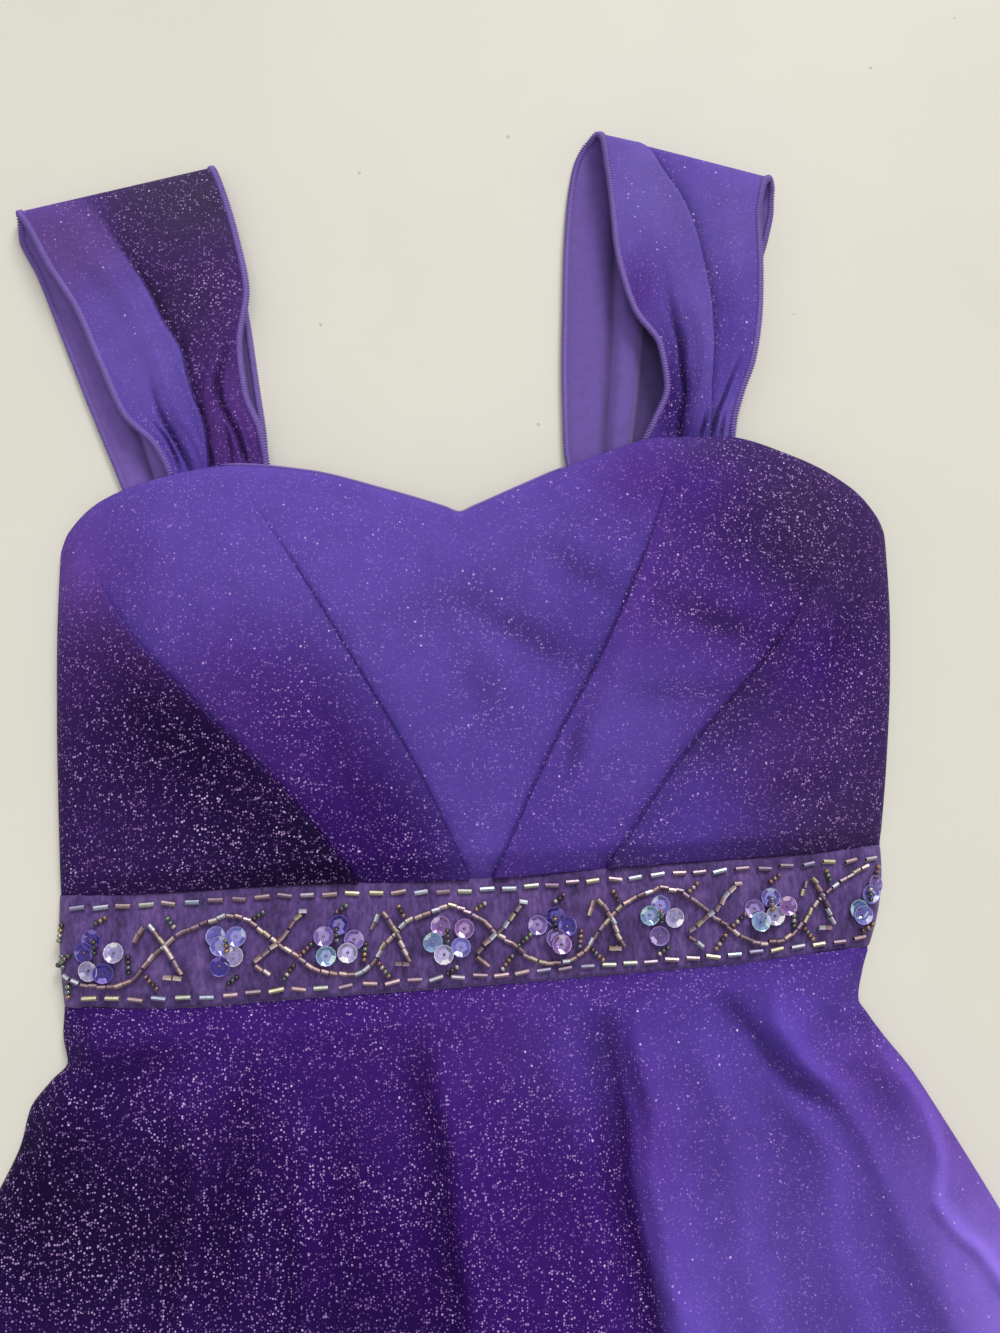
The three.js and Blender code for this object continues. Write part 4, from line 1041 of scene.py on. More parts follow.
# path as share along the front from its seam (0) to the shoulder (1) and share across, where it
# fades from and to, height and half width in mm; "over" folds lie with their left side on top
STRAP_FOLDS = {
    "left": (
        ("over", ((0, 0.40), (0.118, 0.486), (0.237, 0.582), (0.362, 0.585), (0.468, 0.47),
                  (0.596, 0.412), (0.857, 0.32), (1, 0.28)), 0.5, 0.95, 4.2, 2.2),
        ("ridge", ((0, 0.50), (0.10, 0.52), (0.237, 0.66), (0.31, 0.76), (0.38, 0.86), (0.46, 0.94)),
         0.36, 0.52, 2.6, 3.6),
        ("valley", ((0, 0.79), (0.209, 0.773), (0.285, 0.79), (0.345, 0.895)), 0.28, 0.42, 3.0, 1.9),
        ("valley", ((0, 0.21), (0.118, 0.20), (0.237, 0.265), (0.33, 0.30)), 0.16, 0.36, 3.0, 1.7),
        ("valley", ((0, 0.10), (0.118, 0.13), (0.22, 0.16)), 0.10, 0.24, 2.2, 1.3),
        ("valley", ((0, 0.64), (0.12, 0.68), (0.2, 0.72)), 0.08, 0.2, 2.0, 1.3),
        ("ridge", ((0, 0.30), (0.3, 0.40), (0.6, 0.24), (0.9, 0.14)), 0.5, 0.95, 1.2, 5.0),
    ),
    "right": (
        ("over", ((0, 0.75), (0.13, 0.68), (0.235, 0.576), (0.325, 0.56), (0.457, 0.61), (0.575, 0.574),
                  (0.675, 0.485), (0.78, 0.36), (0.9, 0.27), (1, 0.22)), 0.8, 1.05, 4.2, 2.0),
        ("valley", ((0, 0.42), (0.06, 0.37), (0.185, 0.265), (0.28, 0.216), (0.344, 0.23), (0.42, 0.28),
                    (0.5, 0.30)), 0.34, 0.54, 4.2, 2.2),
        ("valley", ((0, 0.73), (0.177, 0.776), (0.272, 0.82), (0.36, 0.914)), 0.2, 0.38, 2.6, 1.6),
        ("valley", ((0, 0.62), (0.07, 0.62), (0.14, 0.60)), 0.05, 0.16, 2.4, 1.2),
        ("valley", ((0, 0.86), (0.09, 0.86), (0.15, 0.88)), 0.06, 0.17, 2.0, 1.2),
        ("ridge", ((0, 0.55), (0.2, 0.43), (0.4, 0.46), (0.55, 0.46)), 0.3, 0.6, 1.6, 5.0),
        ("ridge", ((0.4, 0.80), (0.7, 0.78), (0.9, 0.74)), 0.7, 0.95, 0.9, 4.0),
    ),
}
# share across, half width as a share, height of each roll of the strap's back part
STRAP_BACK_ROLLS = {
    "left": ((0.10, 0.10, 1.2), (0.30, 0.055, 3.0), (0.47, 0.06, 2.0), (0.82, 0.07, 1.4)),
    "right": ((0.11, 0.115, 2.6), (0.335, 0.065, 4.6), (0.62, 0.09, 1.0), (0.84, 0.08, 1.2)),
}
# width that the folds are measured in, and half the thickness of the cloth
STRAP_SPAN, STRAP_HALF = 60.0, 0.45
STRAP_FOLD_LIMITS = (-4.0, 4.2)


def strap_front_share(side, along):
    """Share of the way from the front seam to the shoulder, and the shoulder's place along the strap."""
    places = np.linspace(0, 1, len(STRAPS[side]))
    shoulder = places[SHOULDER_ROW[side]]
    return np.clip((along - places[1]) / (shoulder - places[1]), 0, 1.2), shoulder


def strap_relief(side, front, across):
    """Height of the folds of a strap's front, and how deep in shade each place lies."""
    folds = np.zeros(np.broadcast(front, across).shape)
    shade = np.zeros_like(folds)
    for kind, path, fade_from, fade_to, height, half in STRAP_FOLDS[side]:
        away = (across - table_at(path, front)) * STRAP_SPAN
        grown = 1 - smooth_step(fade_from, fade_to, front)
        if kind == "over":
            left, right = np.clip(-away, 0, None), np.clip(away, 0, None)
            fold = rounded(left + 0.1, half) * np.exp(-left / 14)
            folds = folds + height * grown * np.where(away < 0, fold, -0.35 * np.exp(-right / 4))
            dark = np.where(away < 0, 0.9 * np.exp(-left / 0.5), np.exp(-right / 3.2))
            shade = shade + 0.62 * grown * dark
        elif kind == "valley":
            folds = folds - height * grown * np.exp(-((away / half) ** 2))
            shade = shade + 0.55 * grown * np.exp(-((away / (half * 0.8)) ** 2))
        else:
            folds = folds + height * grown * np.exp(-((away / half) ** 2))
    gather = 1 - smooth_step(0.0, 0.22, front)
    return folds + 0.4 * gather * np.sin(across * 70 + 1.3 * np.sin(across * 9) + 2 * front), shade


def strap_back_rolls(side, across):
    """Height of the rolls of a strap's back part, and how deep in shade the places between them lie."""
    rolls = STRAP_BACK_ROLLS[side]
    height = sum(high * np.exp(-(((across - centre) / half) ** 4)) for centre, half, high in rolls)
    tallest = max(column(rolls, 2))
    return height, 0.55 * (1 - smooth_step(0, 0.5 * tallest, height))


def strap_shares(along, turn, shoulder):
    """How much a place belongs to the gathered front and to the strap's back part."""
    is_front = smooth_step(0, 1, np.sin(turn) * 2) * smooth_step(0.02, 0.09, along)
    is_back = smooth_step(shoulder + 0.05, shoulder + 0.22, along) * (1 - smooth_step(0.86, 0.95, along))
    return is_front, is_back


def strap_colours(side, x, y, along, across, turn):
    """Outside and inside colours, with painted shade in the folds and between the back rolls; the print jumps
    at the main fold, where the left part lies on top.
    """
    front, shoulder = strap_front_share(side, along)
    _, path, fade_from, fade_to = STRAP_FOLDS[side][0][:4]
    centre = table_at(path, front)
    soft = 0.012 + 0.18 * smooth_step(fade_from, fade_to, front)
    share = smooth_step(-soft, soft, across - centre)[..., None]
    over, under = (clouds(x, y, base, table) for base, table in STRAP_CLOUDS[side])
    is_front, is_back = strap_shares(along, turn, shoulder)
    shade = np.clip(strap_relief(side, front, across)[1], 0, 0.75) * is_front
    # the left strap's inside takes a lighter, painted-lit copy of the inside colour
    tone = linear(PALETTE["inside_lit" if side == "left" else "inside"])
    inside = tone * (1 - strap_back_rolls(side, across)[1] * is_back)[..., None]
    return (over * (1 - share) + under * share) * (1 - shade[..., None]), inside


def strap_points(side, along, across):
    """Middle surface and outer direction of a strap at shares along and across."""
    sections = STRAPS[side]
    lx, ly, rx, ry, lift, turn = (
        curve_at(np.linspace(0, 1, len(sections)), column(sections, k), along) for k in range(6))
    x = lx * (1 - across) + rx * across
    y = ly * (1 - across) + ry * across
    turn = np.radians(turn)
    front, shoulder = strap_front_share(side, along)
    is_front, is_back = strap_shares(along, turn, shoulder)
    folds = np.clip(strap_relief(side, front, across)[0], *STRAP_FOLD_LIMITS)
    z = lift + folds * is_front + strap_back_rolls(side, across)[0] * is_back + 0.1
    return x, y, z, turn


class DRESS_OT_straps(bpy.types.Operator):
    """Two wide straps folded back at the shoulder, gathered into the bodice"""
    bl_idname = "dress.straps"
    bl_label = "Straps"

    def execute(self, context):
        scene = context.scene
        for side in STRAPS:
            steps = (np.linspace(0, 1, STRAP_ROWS + 1), np.linspace(0, 1, STRAP_COLUMNS + 1))
            along, across = np.meshgrid(*steps, indexing="ij")
            x, y, z, turn = strap_points(side, along, across)
            points = np.stack([x, y + STRAP_HALF * np.cos(turn), z + STRAP_HALF * np.sin(turn)], -1)
            outside, inside = strap_colours(side, x, y, along, across, turn)
            obj = cloth_piece(f"strap_{side}", points, scene.dress_sizes.cloth,
                              "strap_knit", knit(scene), ombre=outside, inside=inside)
            obj.modifiers["Cloth"].material_offset = 1
            obj.data.materials.append(shared("knit_inside", plain_knit_material, "inside"))
        return made("strap_left_cloth", "strap_right_cloth")


# a direction that no path runs in
NEARLY_UP = np.array([0.13, 0.07, 1.0])


def tube_along(name, path, radius_at, sides=8):
    """A closed tube of varying radius along a path of points in millimetres."""
    path = np.asarray(path, float)
    rings = len(path)
    ahead = np.gradient(path, axis=0)
    ahead /= np.linalg.norm(ahead, axis=1)[:, None]
    side = np.cross(ahead, NEARLY_UP)
    side /= np.linalg.norm(side, axis=1)[:, None]
    up = np.cross(side, ahead)
    angle = np.linspace(0, 2 * np.pi, sides + 1)
    radius = radius_at(np.arange(rings)[:, None], angle[None, :])
    round_x, round_y = (wave(angle)[None, :, None] for wave in (np.cos, np.sin))
    points = path[:, None] + radius[..., None] * (side[:, None] * round_x + up[:, None] * round_y)
    obj = grid_cloth(name, points)
    bm = bmesh.new()
    bm.from_mesh(obj.data)
    bmesh.ops.remove_doubles(bm, verts=bm.verts, dist=1e-6)
    bmesh.ops.holes_fill(bm, edges=[e for e in bm.edges if e.is_boundary], sides=sides)
    bmesh.ops.recalc_face_normals(bm, faces=bm.faces)
    bm.to_mesh(obj.data)
    bm.free()
    obj.data.shade_smooth()
    return obj


def edge_thread(scene):
    return shared("edge_thread", thread_material, scene.dress_colours.edge_thread)


# places from and to along a strap, points, share in from its side, how flat the edge is pressed,
# length of a stitch and how far it stands out
EDGE_ALONG, EDGE_STEPS = (0.035, 0.93), 1300
EDGE_INSET, EDGE_FLAT, EDGE_STITCH, EDGE_RIDGE = 0.008, 0.62, 1.15, 0.26


class DRESS_OT_strap_edges(bpy.types.Operator):
    """Narrow overlocked edges along both sides of each strap"""
    bl_idname = "dress.strap_edges"
    bl_label = "Strap edges"

    def execute(self, context):
        scene = context.scene
        radius = scene.dress_sizes.edge_width / MM / 2
        names = []
        for side in STRAPS:
            for word, inset in (("outer", EDGE_INSET), ("inner", 1 - EDGE_INSET)):
                along = np.linspace(*EDGE_ALONG, EDGE_STEPS)
                x, y, z, _ = strap_points(side, along, np.full(along.shape, inset))
                z = np.maximum(z, radius * EDGE_FLAT)
                step = np.linalg.norm(np.diff(np.stack([x, y, z], -1), axis=0), axis=1)
                stitches = np.concatenate(([0], np.cumsum(step))) / EDGE_STITCH

                def ridged(ring, angle, stitches=stitches):
                    wave = np.sin(2 * np.pi * stitches[ring] + angle)
                    flat = EDGE_FLAT + (1 - EDGE_FLAT) * np.abs(np.cos(angle))
                    return radius * flat * (1 + EDGE_RIDGE * wave)

                names.append(f"strap_{side}_{word}_edge")
                obj = tube_along(names[-1], np.stack([x, y, z], -1), ridged)
                settle(obj, [], edge_thread(scene))
        return made(*names)


# where the rolled edge of the neckline starts and ends, its points, thickness and taper in points
NECK_FROM, NECK_TO, NECK_STEPS = -104, 40, 400
NECK_RADIUS, NECK_SWELL, NECK_TAPER = 0.72, 0.14, 30
NECK_HEIGHT = BODICE_RISE[-1][1]
# the side seams there, and how far out of the top edge the roll lies
NECK_SIDES, NECK_OUT = (-166, 176), 0.5


class DRESS_OT_neck_edge(bpy.types.Operator):
    """Thin rolled edge of the facing along the sweetheart neckline"""
    bl_idname = "dress.neck_edge"
    bl_label = "Neckline edge"

    def execute(self, context):
        x = np.linspace(NECK_FROM, NECK_TO, NECK_STEPS)
        y = table_at(TOP_EDGE, x) + NECK_OUT
        near = np.minimum(x - NECK_SIDES[0], NECK_SIDES[1] - x)
        kept = share_in(near, SIDE_REACH, SIDE_SHARE)
        height = NECK_HEIGHT * kept
        for cx, cy, wide, tall, tall_by in CUPS:
            swell = np.exp(-((x - cx) / wide) ** 2 - ((y - cy) / tall) ** 2)
            height = height + tall_by * (1 - CUP_LOSS) * swell * kept
        z = height * rounded(near, SIDE_ROLL) - NECK_ROLL

        def lip(ring, angle):
            from_end = np.minimum(ring, NECK_STEPS - 1 - ring) + 2
            return (NECK_RADIUS + NECK_SWELL * np.cos(angle)) * smooth_step(0, NECK_TAPER, from_end)

        obj = tube_along("neckline_edge", np.stack([x, y, z], -1), lip)
        settle(obj, [], edge_thread(context.scene))
        return made("neckline_edge")


# Beadwork
# centre x, y, then the places of its sequins from the centre, with their kind
FLOWERS = (
    (-148.4, -20.9, ((-4.0, -0.3, "deep"), (-1.1, 4.3, "deep"), (7.2, -0.5, "clear"), (-2.6, -7.0, "clear"),
                     (2.7, -7.7, "deep"))),
    (-99.6, -22.3, ((-3.6, 5.1, "blue"), (3.8, 4.6, "blue"), (2.7, -2.6, "clear"), (-2.5, -5.7, "deep"),
                    (-2.0, 1.7, "blue"))),
    (-58.7, -20.4, ((0.9, 5.3, "deep"), (-4.8, 1.3, "lilac"), (6.6, -0.4, "lilac"), (-4.0, -5.8, "aqua"),
                    (3.9, -5.0, "clear"))),
    (-17.0, -22.6, ((-2.6, 5.3, "pink"), (6.5, 3.8, "pink"), (-5.8, -0.5, "aqua"), (5.2, -2.9, "blue"),
                    (-1.2, -5.3, "clear"))),
    (25.4, -20.3, ((-6.9, 1.9, "lilac"), (0.4, 4.6, "deep"), (4.9, 0.4, "deep"), (0.7, -3.5, "lilac"),
                   (2.8, -6.0, "pink"))),
    (68.3, -19.4, ((0.1, 5.9, "blue"), (-4.3, 2.5, "aqua"), (5.5, 0.9, "clear"), (-0.2, -5.4, "lilac"))),
    (113.1, -16.6, ((0.2, 4.2, "blue"), (-6.4, 0.3, "lilac"), (6.9, 0.3, "pink"), (-4.0, -4.7, "aqua"),
                    (1.8, -2.9, "clear"))),
    (153.6, -14.8, ((2.6, 5.2, "lilac"), (0.9, 1.7, "blue"), (-3.4, -3.6, "aqua"), (-1.2, -6.0, "blue"))),
)
# colour of the flat middle, the facets, the rim with a painted highlight, and the lit facet, a painted glint
SEQUIN_KINDS = {
    "clear": ((158, 148, 206), (176, 166, 214), (214, 208, 232), (250, 246, 255)),
    "lilac": ((112, 84, 166), (126, 98, 182), (166, 142, 214), (206, 190, 240)),
    "pink": ((124, 84, 160), (142, 100, 176), (182, 148, 210), (230, 204, 240)),
    "blue": ((100, 90, 182), (118, 112, 204), (158, 154, 226), (214, 220, 255)),
    "deep": ((62, 40, 148), (52, 34, 140), (108, 84, 190), (140, 120, 220)),
    "aqua": ((112, 126, 190), (128, 158, 206), (176, 206, 224), (220, 250, 246)),
}
# where the vine comes round the left side, x and height over the middle line
VINE_START = (-192.0, -1.0)
# share of the way to the next flower, height over the middle line
VINE_DOWN = (
    (0.0, 13.0), (0.2, 10.0), (0.38, 3.8), (0.48, -0.8), (0.63, -5.0), (0.73, -9.0), (0.88, -12.2),
    (1.0, -13.0),
)
VINE_UP = (
    (0.0, -13.0), (0.14, -13.2), (0.27, -10.6), (0.34, -7.7), (0.44, -1.2), (0.53, 2.3), (0.64, 6.5),
    (0.79, 9.6), (0.91, 11.2), (1.0, 12.6),
)
SPRAYS_DOWN = (
    ((0.74, 11.2), (0.66, 11.4)),
    ((0.68, 10.0), (0.61, 7.7), (0.51, 2.0), (0.43, -0.4), (0.26, -5.6)),
    ((0.26, -7.0), (0.40, -11.6)),
)
SPRAYS_UP = (
    ((0.31, 3.8), (0.375, 9.6)),
    ((0.41, 10.2), (0.48, 6.3), (0.55, 1.8), (0.61, -3.9), (0.66, -8.6)),
    ((0.655, -9.4), (0.52, -8.8)),
)
# x, height, direction in degrees, beads: runs that go round the side edges
EDGE_SEEDS = ((-161.6, 7.0, 80, 4), (-161.0, -3.5, 95, 3), (-159.5, -13.5, 80, 4), (157.0, 9.5, 70, 3))
# share of the way, height, direction in degrees, beads
SEEDS_DOWN = ((0.30, 11.4, 35, 3), (0.56, -10.6, 50, 4), (0.72, -3.0, 45, 4))
SEEDS_UP = ((0.58, 10.6, -62, 3), (0.25, -4.6, 90, 4), (0.42, -11.2, -48, 4))
STITCH_COLOURS = (
    (150, 124, 132), (130, 104, 124), (166, 170, 188), (174, 168, 142), (142, 152, 178),
    (154, 148, 164), (124, 100, 124), (166, 138, 150), (130, 122, 156), (162, 164, 156),
)
VINE_COLOURS = (
    (142, 112, 116), (116, 88, 98), (166, 140, 140), (164, 164, 180), (100, 76, 92),
    (180, 160, 160), (130, 104, 124), (148, 134, 116),
)
SEED_COLOURS = (
    (138, 112, 76), (78, 90, 78), (160, 130, 100), (130, 88, 100), (52, 50, 58), (124, 138, 112),
    (148, 114, 98), (110, 118, 128), (78, 64, 54), (184, 174, 164),
)
# where beads may lie along the band: leftmost, then rightmost for seeds and for bugles
BEADS_FROM, SEEDS_TO, BUGLES_TO = -163, 159, 158


def band_edges_at(x):
    """Share across the waistband at x, and the heights of its top and bottom edges there."""
    across = (x - BAND_ROWS[0][1]) / (BAND_ROWS[-1][1] - BAND_ROWS[0][1])
    return across, *(table_at(BAND_ROWS, across, k) for k in (2, 4))


FRAME_STEP = 0.002


def band_frame(x, over_middle, lift):
    """Point over the waistband's face, and its tangent frame."""
    across, top, low = band_edges_at(np.asarray(x, float))
    down = 0.5 - np.asarray(over_middle, float) / (top - low)
    steps = ((0, 0), (FRAME_STEP, 0), (0, FRAME_STEP * 8))
    here, right, lower = (np.stack(band_point(across + a, down + d), -1) for a, d in steps)
    tangent = right - here
    tangent /= np.linalg.norm(tangent, axis=-1, keepdims=True)
    down_way = lower - here
    normal = np.cross(down_way, tangent)
    normal /= np.linalg.norm(normal, axis=-1, keepdims=True)
    normal = np.where(normal[..., 2:] < -0.2, -normal, normal)
    return here + normal * lift, tangent, np.cross(normal, tangent), normal


def bead_path(points, pitch):
    """Places of the ends of the bugles threaded along a short strand."""
    points = np.asarray(points, float)
    run = np.concatenate(([0], np.cumsum(np.linalg.norm(np.diff(points, axis=0), axis=1))))
    count = max(1, int(round(run[-1] / pitch)))
    ends = np.linspace(0, run[-1], count + 1)
    return [np.array([np.interp(s, run, points[:, k]) for k in (0, 1)]) for s in ends]


def join_parts(name, parts):
    """One mesh from many small ones, each a (template mesh, matrix, colours of its kinds of face)."""
    bm = bmesh.new()
    layer = bm.loops.layers.float_color.new("bead")
    for template, matrix, colours in parts:
        first_vert, first_face = len(bm.verts), len(bm.faces)
        bm.from_mesh(template)
        bm.verts.ensure_lookup_table()
        bm.faces.ensure_lookup_table()
        bmesh.ops.transform(bm, matrix=matrix, verts=bm.verts[first_vert:])
        for face in bm.faces[first_face:]:
            colour = (*colours[face.material_index % len(colours)], 1.0)
            face.material_index = 0
            for loop in face.loops:
                loop[layer] = colour
    return new_object(name, mesh_from(name, bm))


# thickness of a bugle's wall and depth of its hole, as shares of its width
BUGLE_WALL, BUGLE_HOLE = 0.14, 0.35


def bugle_template(length, width):
    """A hollow glass tube along X; kinds of face: 0 sides, 1 lit strip and ends for a painted highlight, 2
    underside and hole for painted shade.
    """
    bm = bmesh.new()
    bmesh.ops.create_cone(bm, cap_ends=True, segments=8, radius1=width / 2, radius2=width / 2, depth=length)
    caps = [f for f in bm.faces if len(f.verts) > 4]
    for cap in caps:
        cap.material_index = 2
    inset = bmesh.ops.inset_individual(bm, faces=caps, thickness=width * BUGLE_WALL, depth=0)
    for face in inset["faces"]:
        face.material_index = 1
    bmesh.ops.inset_individual(bm, faces=caps, thickness=width * 0.02, depth=-width * BUGLE_HOLE)
    bmesh.ops.rotate(bm, verts=bm.verts, matrix=Matrix.Rotation(math.pi / 2, 3, "Y"))
    bm.normal_update()
    for face in bm.faces:
        if abs(face.normal.x) < 0.5 and face.calc_area() > length * width * 0.1:
            lit = face.normal.z > 0.7 and face.normal.y > 0
            face.material_index = 1 if lit else 2 if face.normal.z < -0.2 else 0
    return mesh_from("bugle_template", bm)


def seed_template(width):
    bm = bmesh.new()
    bmesh.ops.create_uvsphere(bm, u_segments=8, v_segments=6, radius=width / 2)
    bmesh.ops.scale(bm, verts=bm.verts, vec=(1, 1, 0.78))
    mesh = mesh_from("seed_template", bm)
    mesh.shade_smooth()
    return mesh


SEQUIN_SIDES = 6
# how much higher each sequin of a flower lies than the one before
SEQUIN_RISE = 0.32


def sequin_template(width):
    """A cup sequin: flat six-sided middle with a hole, six facets and a thin round rim."""
    bm = bmesh.new()
    segments = SEQUIN_SIDES * 2
    # share of the radius at the corners and between them, height as a share of the width
    rings = ((0.11, 0.11, 0.0), (0.60, 0.52, 0.0), (0.93, 0.93, 0.10), (1.0, 1.0, 0.11))
    loops = []
    for at_corner, between, height in rings:
        circle = bmesh.ops.create_circle(bm, cap_ends=False, segments=segments, radius=width / 2)
        for index, vert in enumerate(circle["verts"]):
            share = at_corner if index % 2 == 0 else between
            vert.co = Vector((vert.co.x * share, vert.co.y * share, height * width))
        loops.append(circle["verts"])
    for ring, (inner, outer) in enumerate(zip(loops, loops[1:])):
        for index in range(segments):
            after = (index + 1) % segments
            face = bm.faces.new((inner[index], outer[index], outer[after], inner[after]))
            facet = index // 2
            face.material_index = (0, 1 + facet, 1 + SEQUIN_SIDES)[ring]
    bmesh.ops.recalc_face_normals(bm, faces=bm.faces)
    if sum(f.normal.z for f in bm.faces) < 0:
        bmesh.ops.reverse_faces(bm, faces=bm.faces)
    bmesh.ops.solidify(bm, geom=bm.faces[:], thickness=width * 0.02)
    bmesh.ops.recalc_face_normals(bm, faces=bm.faces)
    return mesh_from("sequin_template", bm)


def matrix_from(point, axes, scale=(1, 1, 1)):
    """Place and turn of a bead, from its axes and its scale along each."""
    turned = np.stack([np.asarray(axis) * by for axis, by in zip(axes, scale)], -1)
    turn = Matrix([[*[float(v) for v in row], 0] for row in turned] + [[0, 0, 0, 1]])
    return Matrix.Translation(Vector([float(c) for c in np.asarray(point) * MM + SHIFT])) @ turn


def middle_over(x):
    """Height of the waistband's middle line at x."""
    _, top, low = band_edges_at(x)
    return float(top + low) / 2


def bugle_between(template, start, end, lift, rng, length, tones):
    """A bugle laid from one point of the band's face to another, in x and height over the middle."""
    middle = (start + end) / 2
    point, tangent, across, normal = band_frame(middle[0], middle[1], lift)
    way = end - start
    angle = math.atan2(way[1], way[0]) + rng.uniform(-0.11, 0.11)
    x_axis = tangent * math.cos(angle) + across * math.sin(angle)
    y_axis = np.cross(normal, x_axis)
    share = min(1.0, np.linalg.norm(way) / (length * 1.04)) * rng.uniform(0.88, 1.0)
    tone = linear(tones[rng.randrange(len(tones))])
    # sides in the bead's tone, a painted highlight on the lit strip and ends, painted shade on the underside
    # and in the hole
    colours = [tuple(tone * 0.72), tuple(np.minimum(tone * 1.7 + 0.06, 1)), tuple(tone * 0.14)]
    return template, matrix_from(point, (x_axis, y_axis, normal), (share, 1, 1)), colours


def seed_run(seeds, template, place, turn, count, rng, width, lift, small=1.0):
    """A short run of seed beads centred on a place."""
    width = width * small
    way = np.array([math.cos(math.radians(turn)), math.sin(math.radians(turn))])
    for k in range(count):
        spot = place + way * (k - (count - 1) / 2) * width * 0.84
        if not BEADS_FROM <= spot[0] <= SEEDS_TO:
            continue
        point, tangent, across, normal = band_frame(spot[0], spot[1], lift + width * 0.3)
        x_axis = tangent * way[1] - across * way[0]
        z_axis = tangent * way[0] + across * way[1]
        tone = linear(SEED_COLOURS[rng.randrange(len(SEED_COLOURS))])
        axes = (x_axis, np.cross(z_axis, x_axis), z_axis)
        seeds.append((template, matrix_from(point, axes, (small,) * 3), [tuple(tone)]))


def stitch_rows(bugle, length, width, rng):
    """The running rows of bugles along the top and bottom of the waistband."""
    bugles = []
    rows = ((1, -158.5, 157, TOP_STITCH_DOWN), (-1, -155.0, 151, BOTTOM_STITCH_DOWN))
    for side, start_x, end_x, in_from_edge in rows:
        x = start_x
        while x < end_x:
            _, top, low = band_edges_at(x)
            height = side * (float(top - low) / 2 - in_from_edge) + rng.uniform(-0.45, 0.45)
            tilt = rng.uniform(-0.45, 0.45)
            start, end = np.array([x, height - tilt]), np.array([x + length, height + tilt])
            bugles.append(bugle_between(bugle, start, end, width * 0.42, rng, length, STITCH_COLOURS))
            x += STITCH_PITCH * rng.uniform(0.94, 1.06)
    return bugles


def vine_strands(bugle, seed, length, width, seed_width, rng):
    """The vine from flower to flower, with its side sprays and seed runs."""
    bugles, seeds = [], []
    centres = [VINE_START] + [(f[0], f[1] - middle_over(f[0])) for f in FLOWERS]
    for gap, (here, there) in enumerate(zip(centres, centres[1:])):
        goes_up = gap % 2 == 1
        here, way = np.array(here), np.array(there) - np.array(here)
        strands = [VINE_UP if goes_up else VINE_DOWN] + list(SPRAYS_UP if goes_up else SPRAYS_DOWN)
        for number, strand in enumerate(strands):
            points = [here + way * share + (0, high + rng.uniform(-0.3, 0.3)) for share, high in strand]
            ends = bead_path(points, length * 1.04)
            for start, end in zip(ends, ends[1:]):
                astray = np.array([rng.uniform(-0.3, 0.3), rng.uniform(-0.35, 0.35)])
                start, end = start + astray, end + astray
                if min(start[0], end[0]) < BEADS_FROM or max(start[0], end[0]) > BUGLES_TO:
                    continue
                lift = width * (0.42 if number == 0 else 0.72)
                bugles.append(bugle_between(bugle, start, end, lift, rng, length, VINE_COLOURS))
        for share, high, turn, count in (SEEDS_UP if goes_up else SEEDS_DOWN):
            place = here + way * share + (0, high)
            seed_run(seeds, seed, place, turn + rng.uniform(-8, 8), count, rng, seed_width, 0.3)
    return bugles, seeds


def flowers(sequin, seed, seed_width, rng):
    """Sequins of each flower lapped over one another, each held down by a bead."""
    sequins, seeds = [], []
    for index, (x, y, petals) in enumerate(FLOWERS):
        high = y - middle_over(x)
        for order, (px, py, kind) in enumerate(petals):
            point, tangent, across, normal = band_frame(x + px, high + py, 0.6 + SEQUIN_RISE * order)
            spin = rng.uniform(0, 2 * math.pi)
            z_axis = normal + tangent * rng.uniform(-0.17, 0.17) + across * rng.uniform(-0.17, 0.17)
            z_axis /= np.linalg.norm(z_axis)
            x_axis = tangent * math.cos(spin) + across * math.sin(spin)
            x_axis -= z_axis * np.dot(x_axis, z_axis)
            x_axis /= np.linalg.norm(x_axis)
            flat, facet, rim, lit = (linear(tone) for tone in SEQUIN_KINDS[kind])
            # each facet painted lighter or darker as if catching the light, and one painted as a glint
            facets = [tuple(facet * rng.uniform(0.62, 1.18)) for _ in range(SEQUIN_SIDES)]
            facets[rng.randrange(SEQUIN_SIDES)] = tuple(lit)
            matrix = matrix_from(point, (x_axis, np.cross(z_axis, x_axis), z_axis))
            sequins.append((sequin, matrix, [tuple(flat), *facets, tuple(rim)]))
            place = np.array([x + px, high + py])
            seed_run(seeds, seed, place, 90, 1, rng, seed_width, 0.9 + SEQUIN_RISE * order, 0.5)
        seed_run(seeds, seed, np.array([x + 0.2, high + 1.6]), -86, 3, rng, seed_width, 2.0)
        above = 11.2 if index % 2 == 0 else -11.4
        seed_run(seeds, seed, np.array([x + 2.0, high + above]), 32, 3, rng, seed_width, 0.3)
    return sequins, seeds


class DRESS_OT_beadwork(bpy.types.Operator):
    """Sequin flowers, bugle vine and seed beads sewn on the waistband"""
    bl_idname = "dress.beadwork"
    bl_label = "Beadwork"

    def execute(self, context):
        if "waistband_front_cloth" not in bpy.data.objects:
            raise RuntimeError("the beadwork is sewn on the waistband, which isn't made yet")
        sizes = context.scene.dress_sizes
        rng = random.Random(11)
        width, seed_width = sizes.bugle_width / MM, sizes.seed_width / MM
        long_bugle = bugle_template(sizes.bugle_length, sizes.bugle_width)
        short_bugle = bugle_template(sizes.vine_length, sizes.bugle_width)
        seed, sequin = seed_template(sizes.seed_width), sequin_template(sizes.sequin_width)
        bugles = stitch_rows(long_bugle, sizes.bugle_length / MM, width, rng)
        vine, seeds = vine_strands(short_bugle, seed, sizes.vine_length / MM, width, seed_width, rng)
        sequins, knots = flowers(sequin, seed, seed_width, rng)
        for x, high, turn, count in EDGE_SEEDS:
            seed_run(knots, seed, np.array([x, high]), turn, count, rng, seed_width, 0.2)
        groups = (("bugle_beads", bugles + vine, "bugle_glass"), ("seed_beads", seeds + knots, "seed_metal"),
                  ("sequins", sequins, "sequin_foil"))
        for name, parts, look in groups:
            settle(join_parts(name, parts), [], shared(look, bead_material))
        for template in (long_bugle, short_bugle, seed, sequin):
            bpy.data.meshes.remove(template)
        return made("bugle_beads", "seed_beads", "sequins")


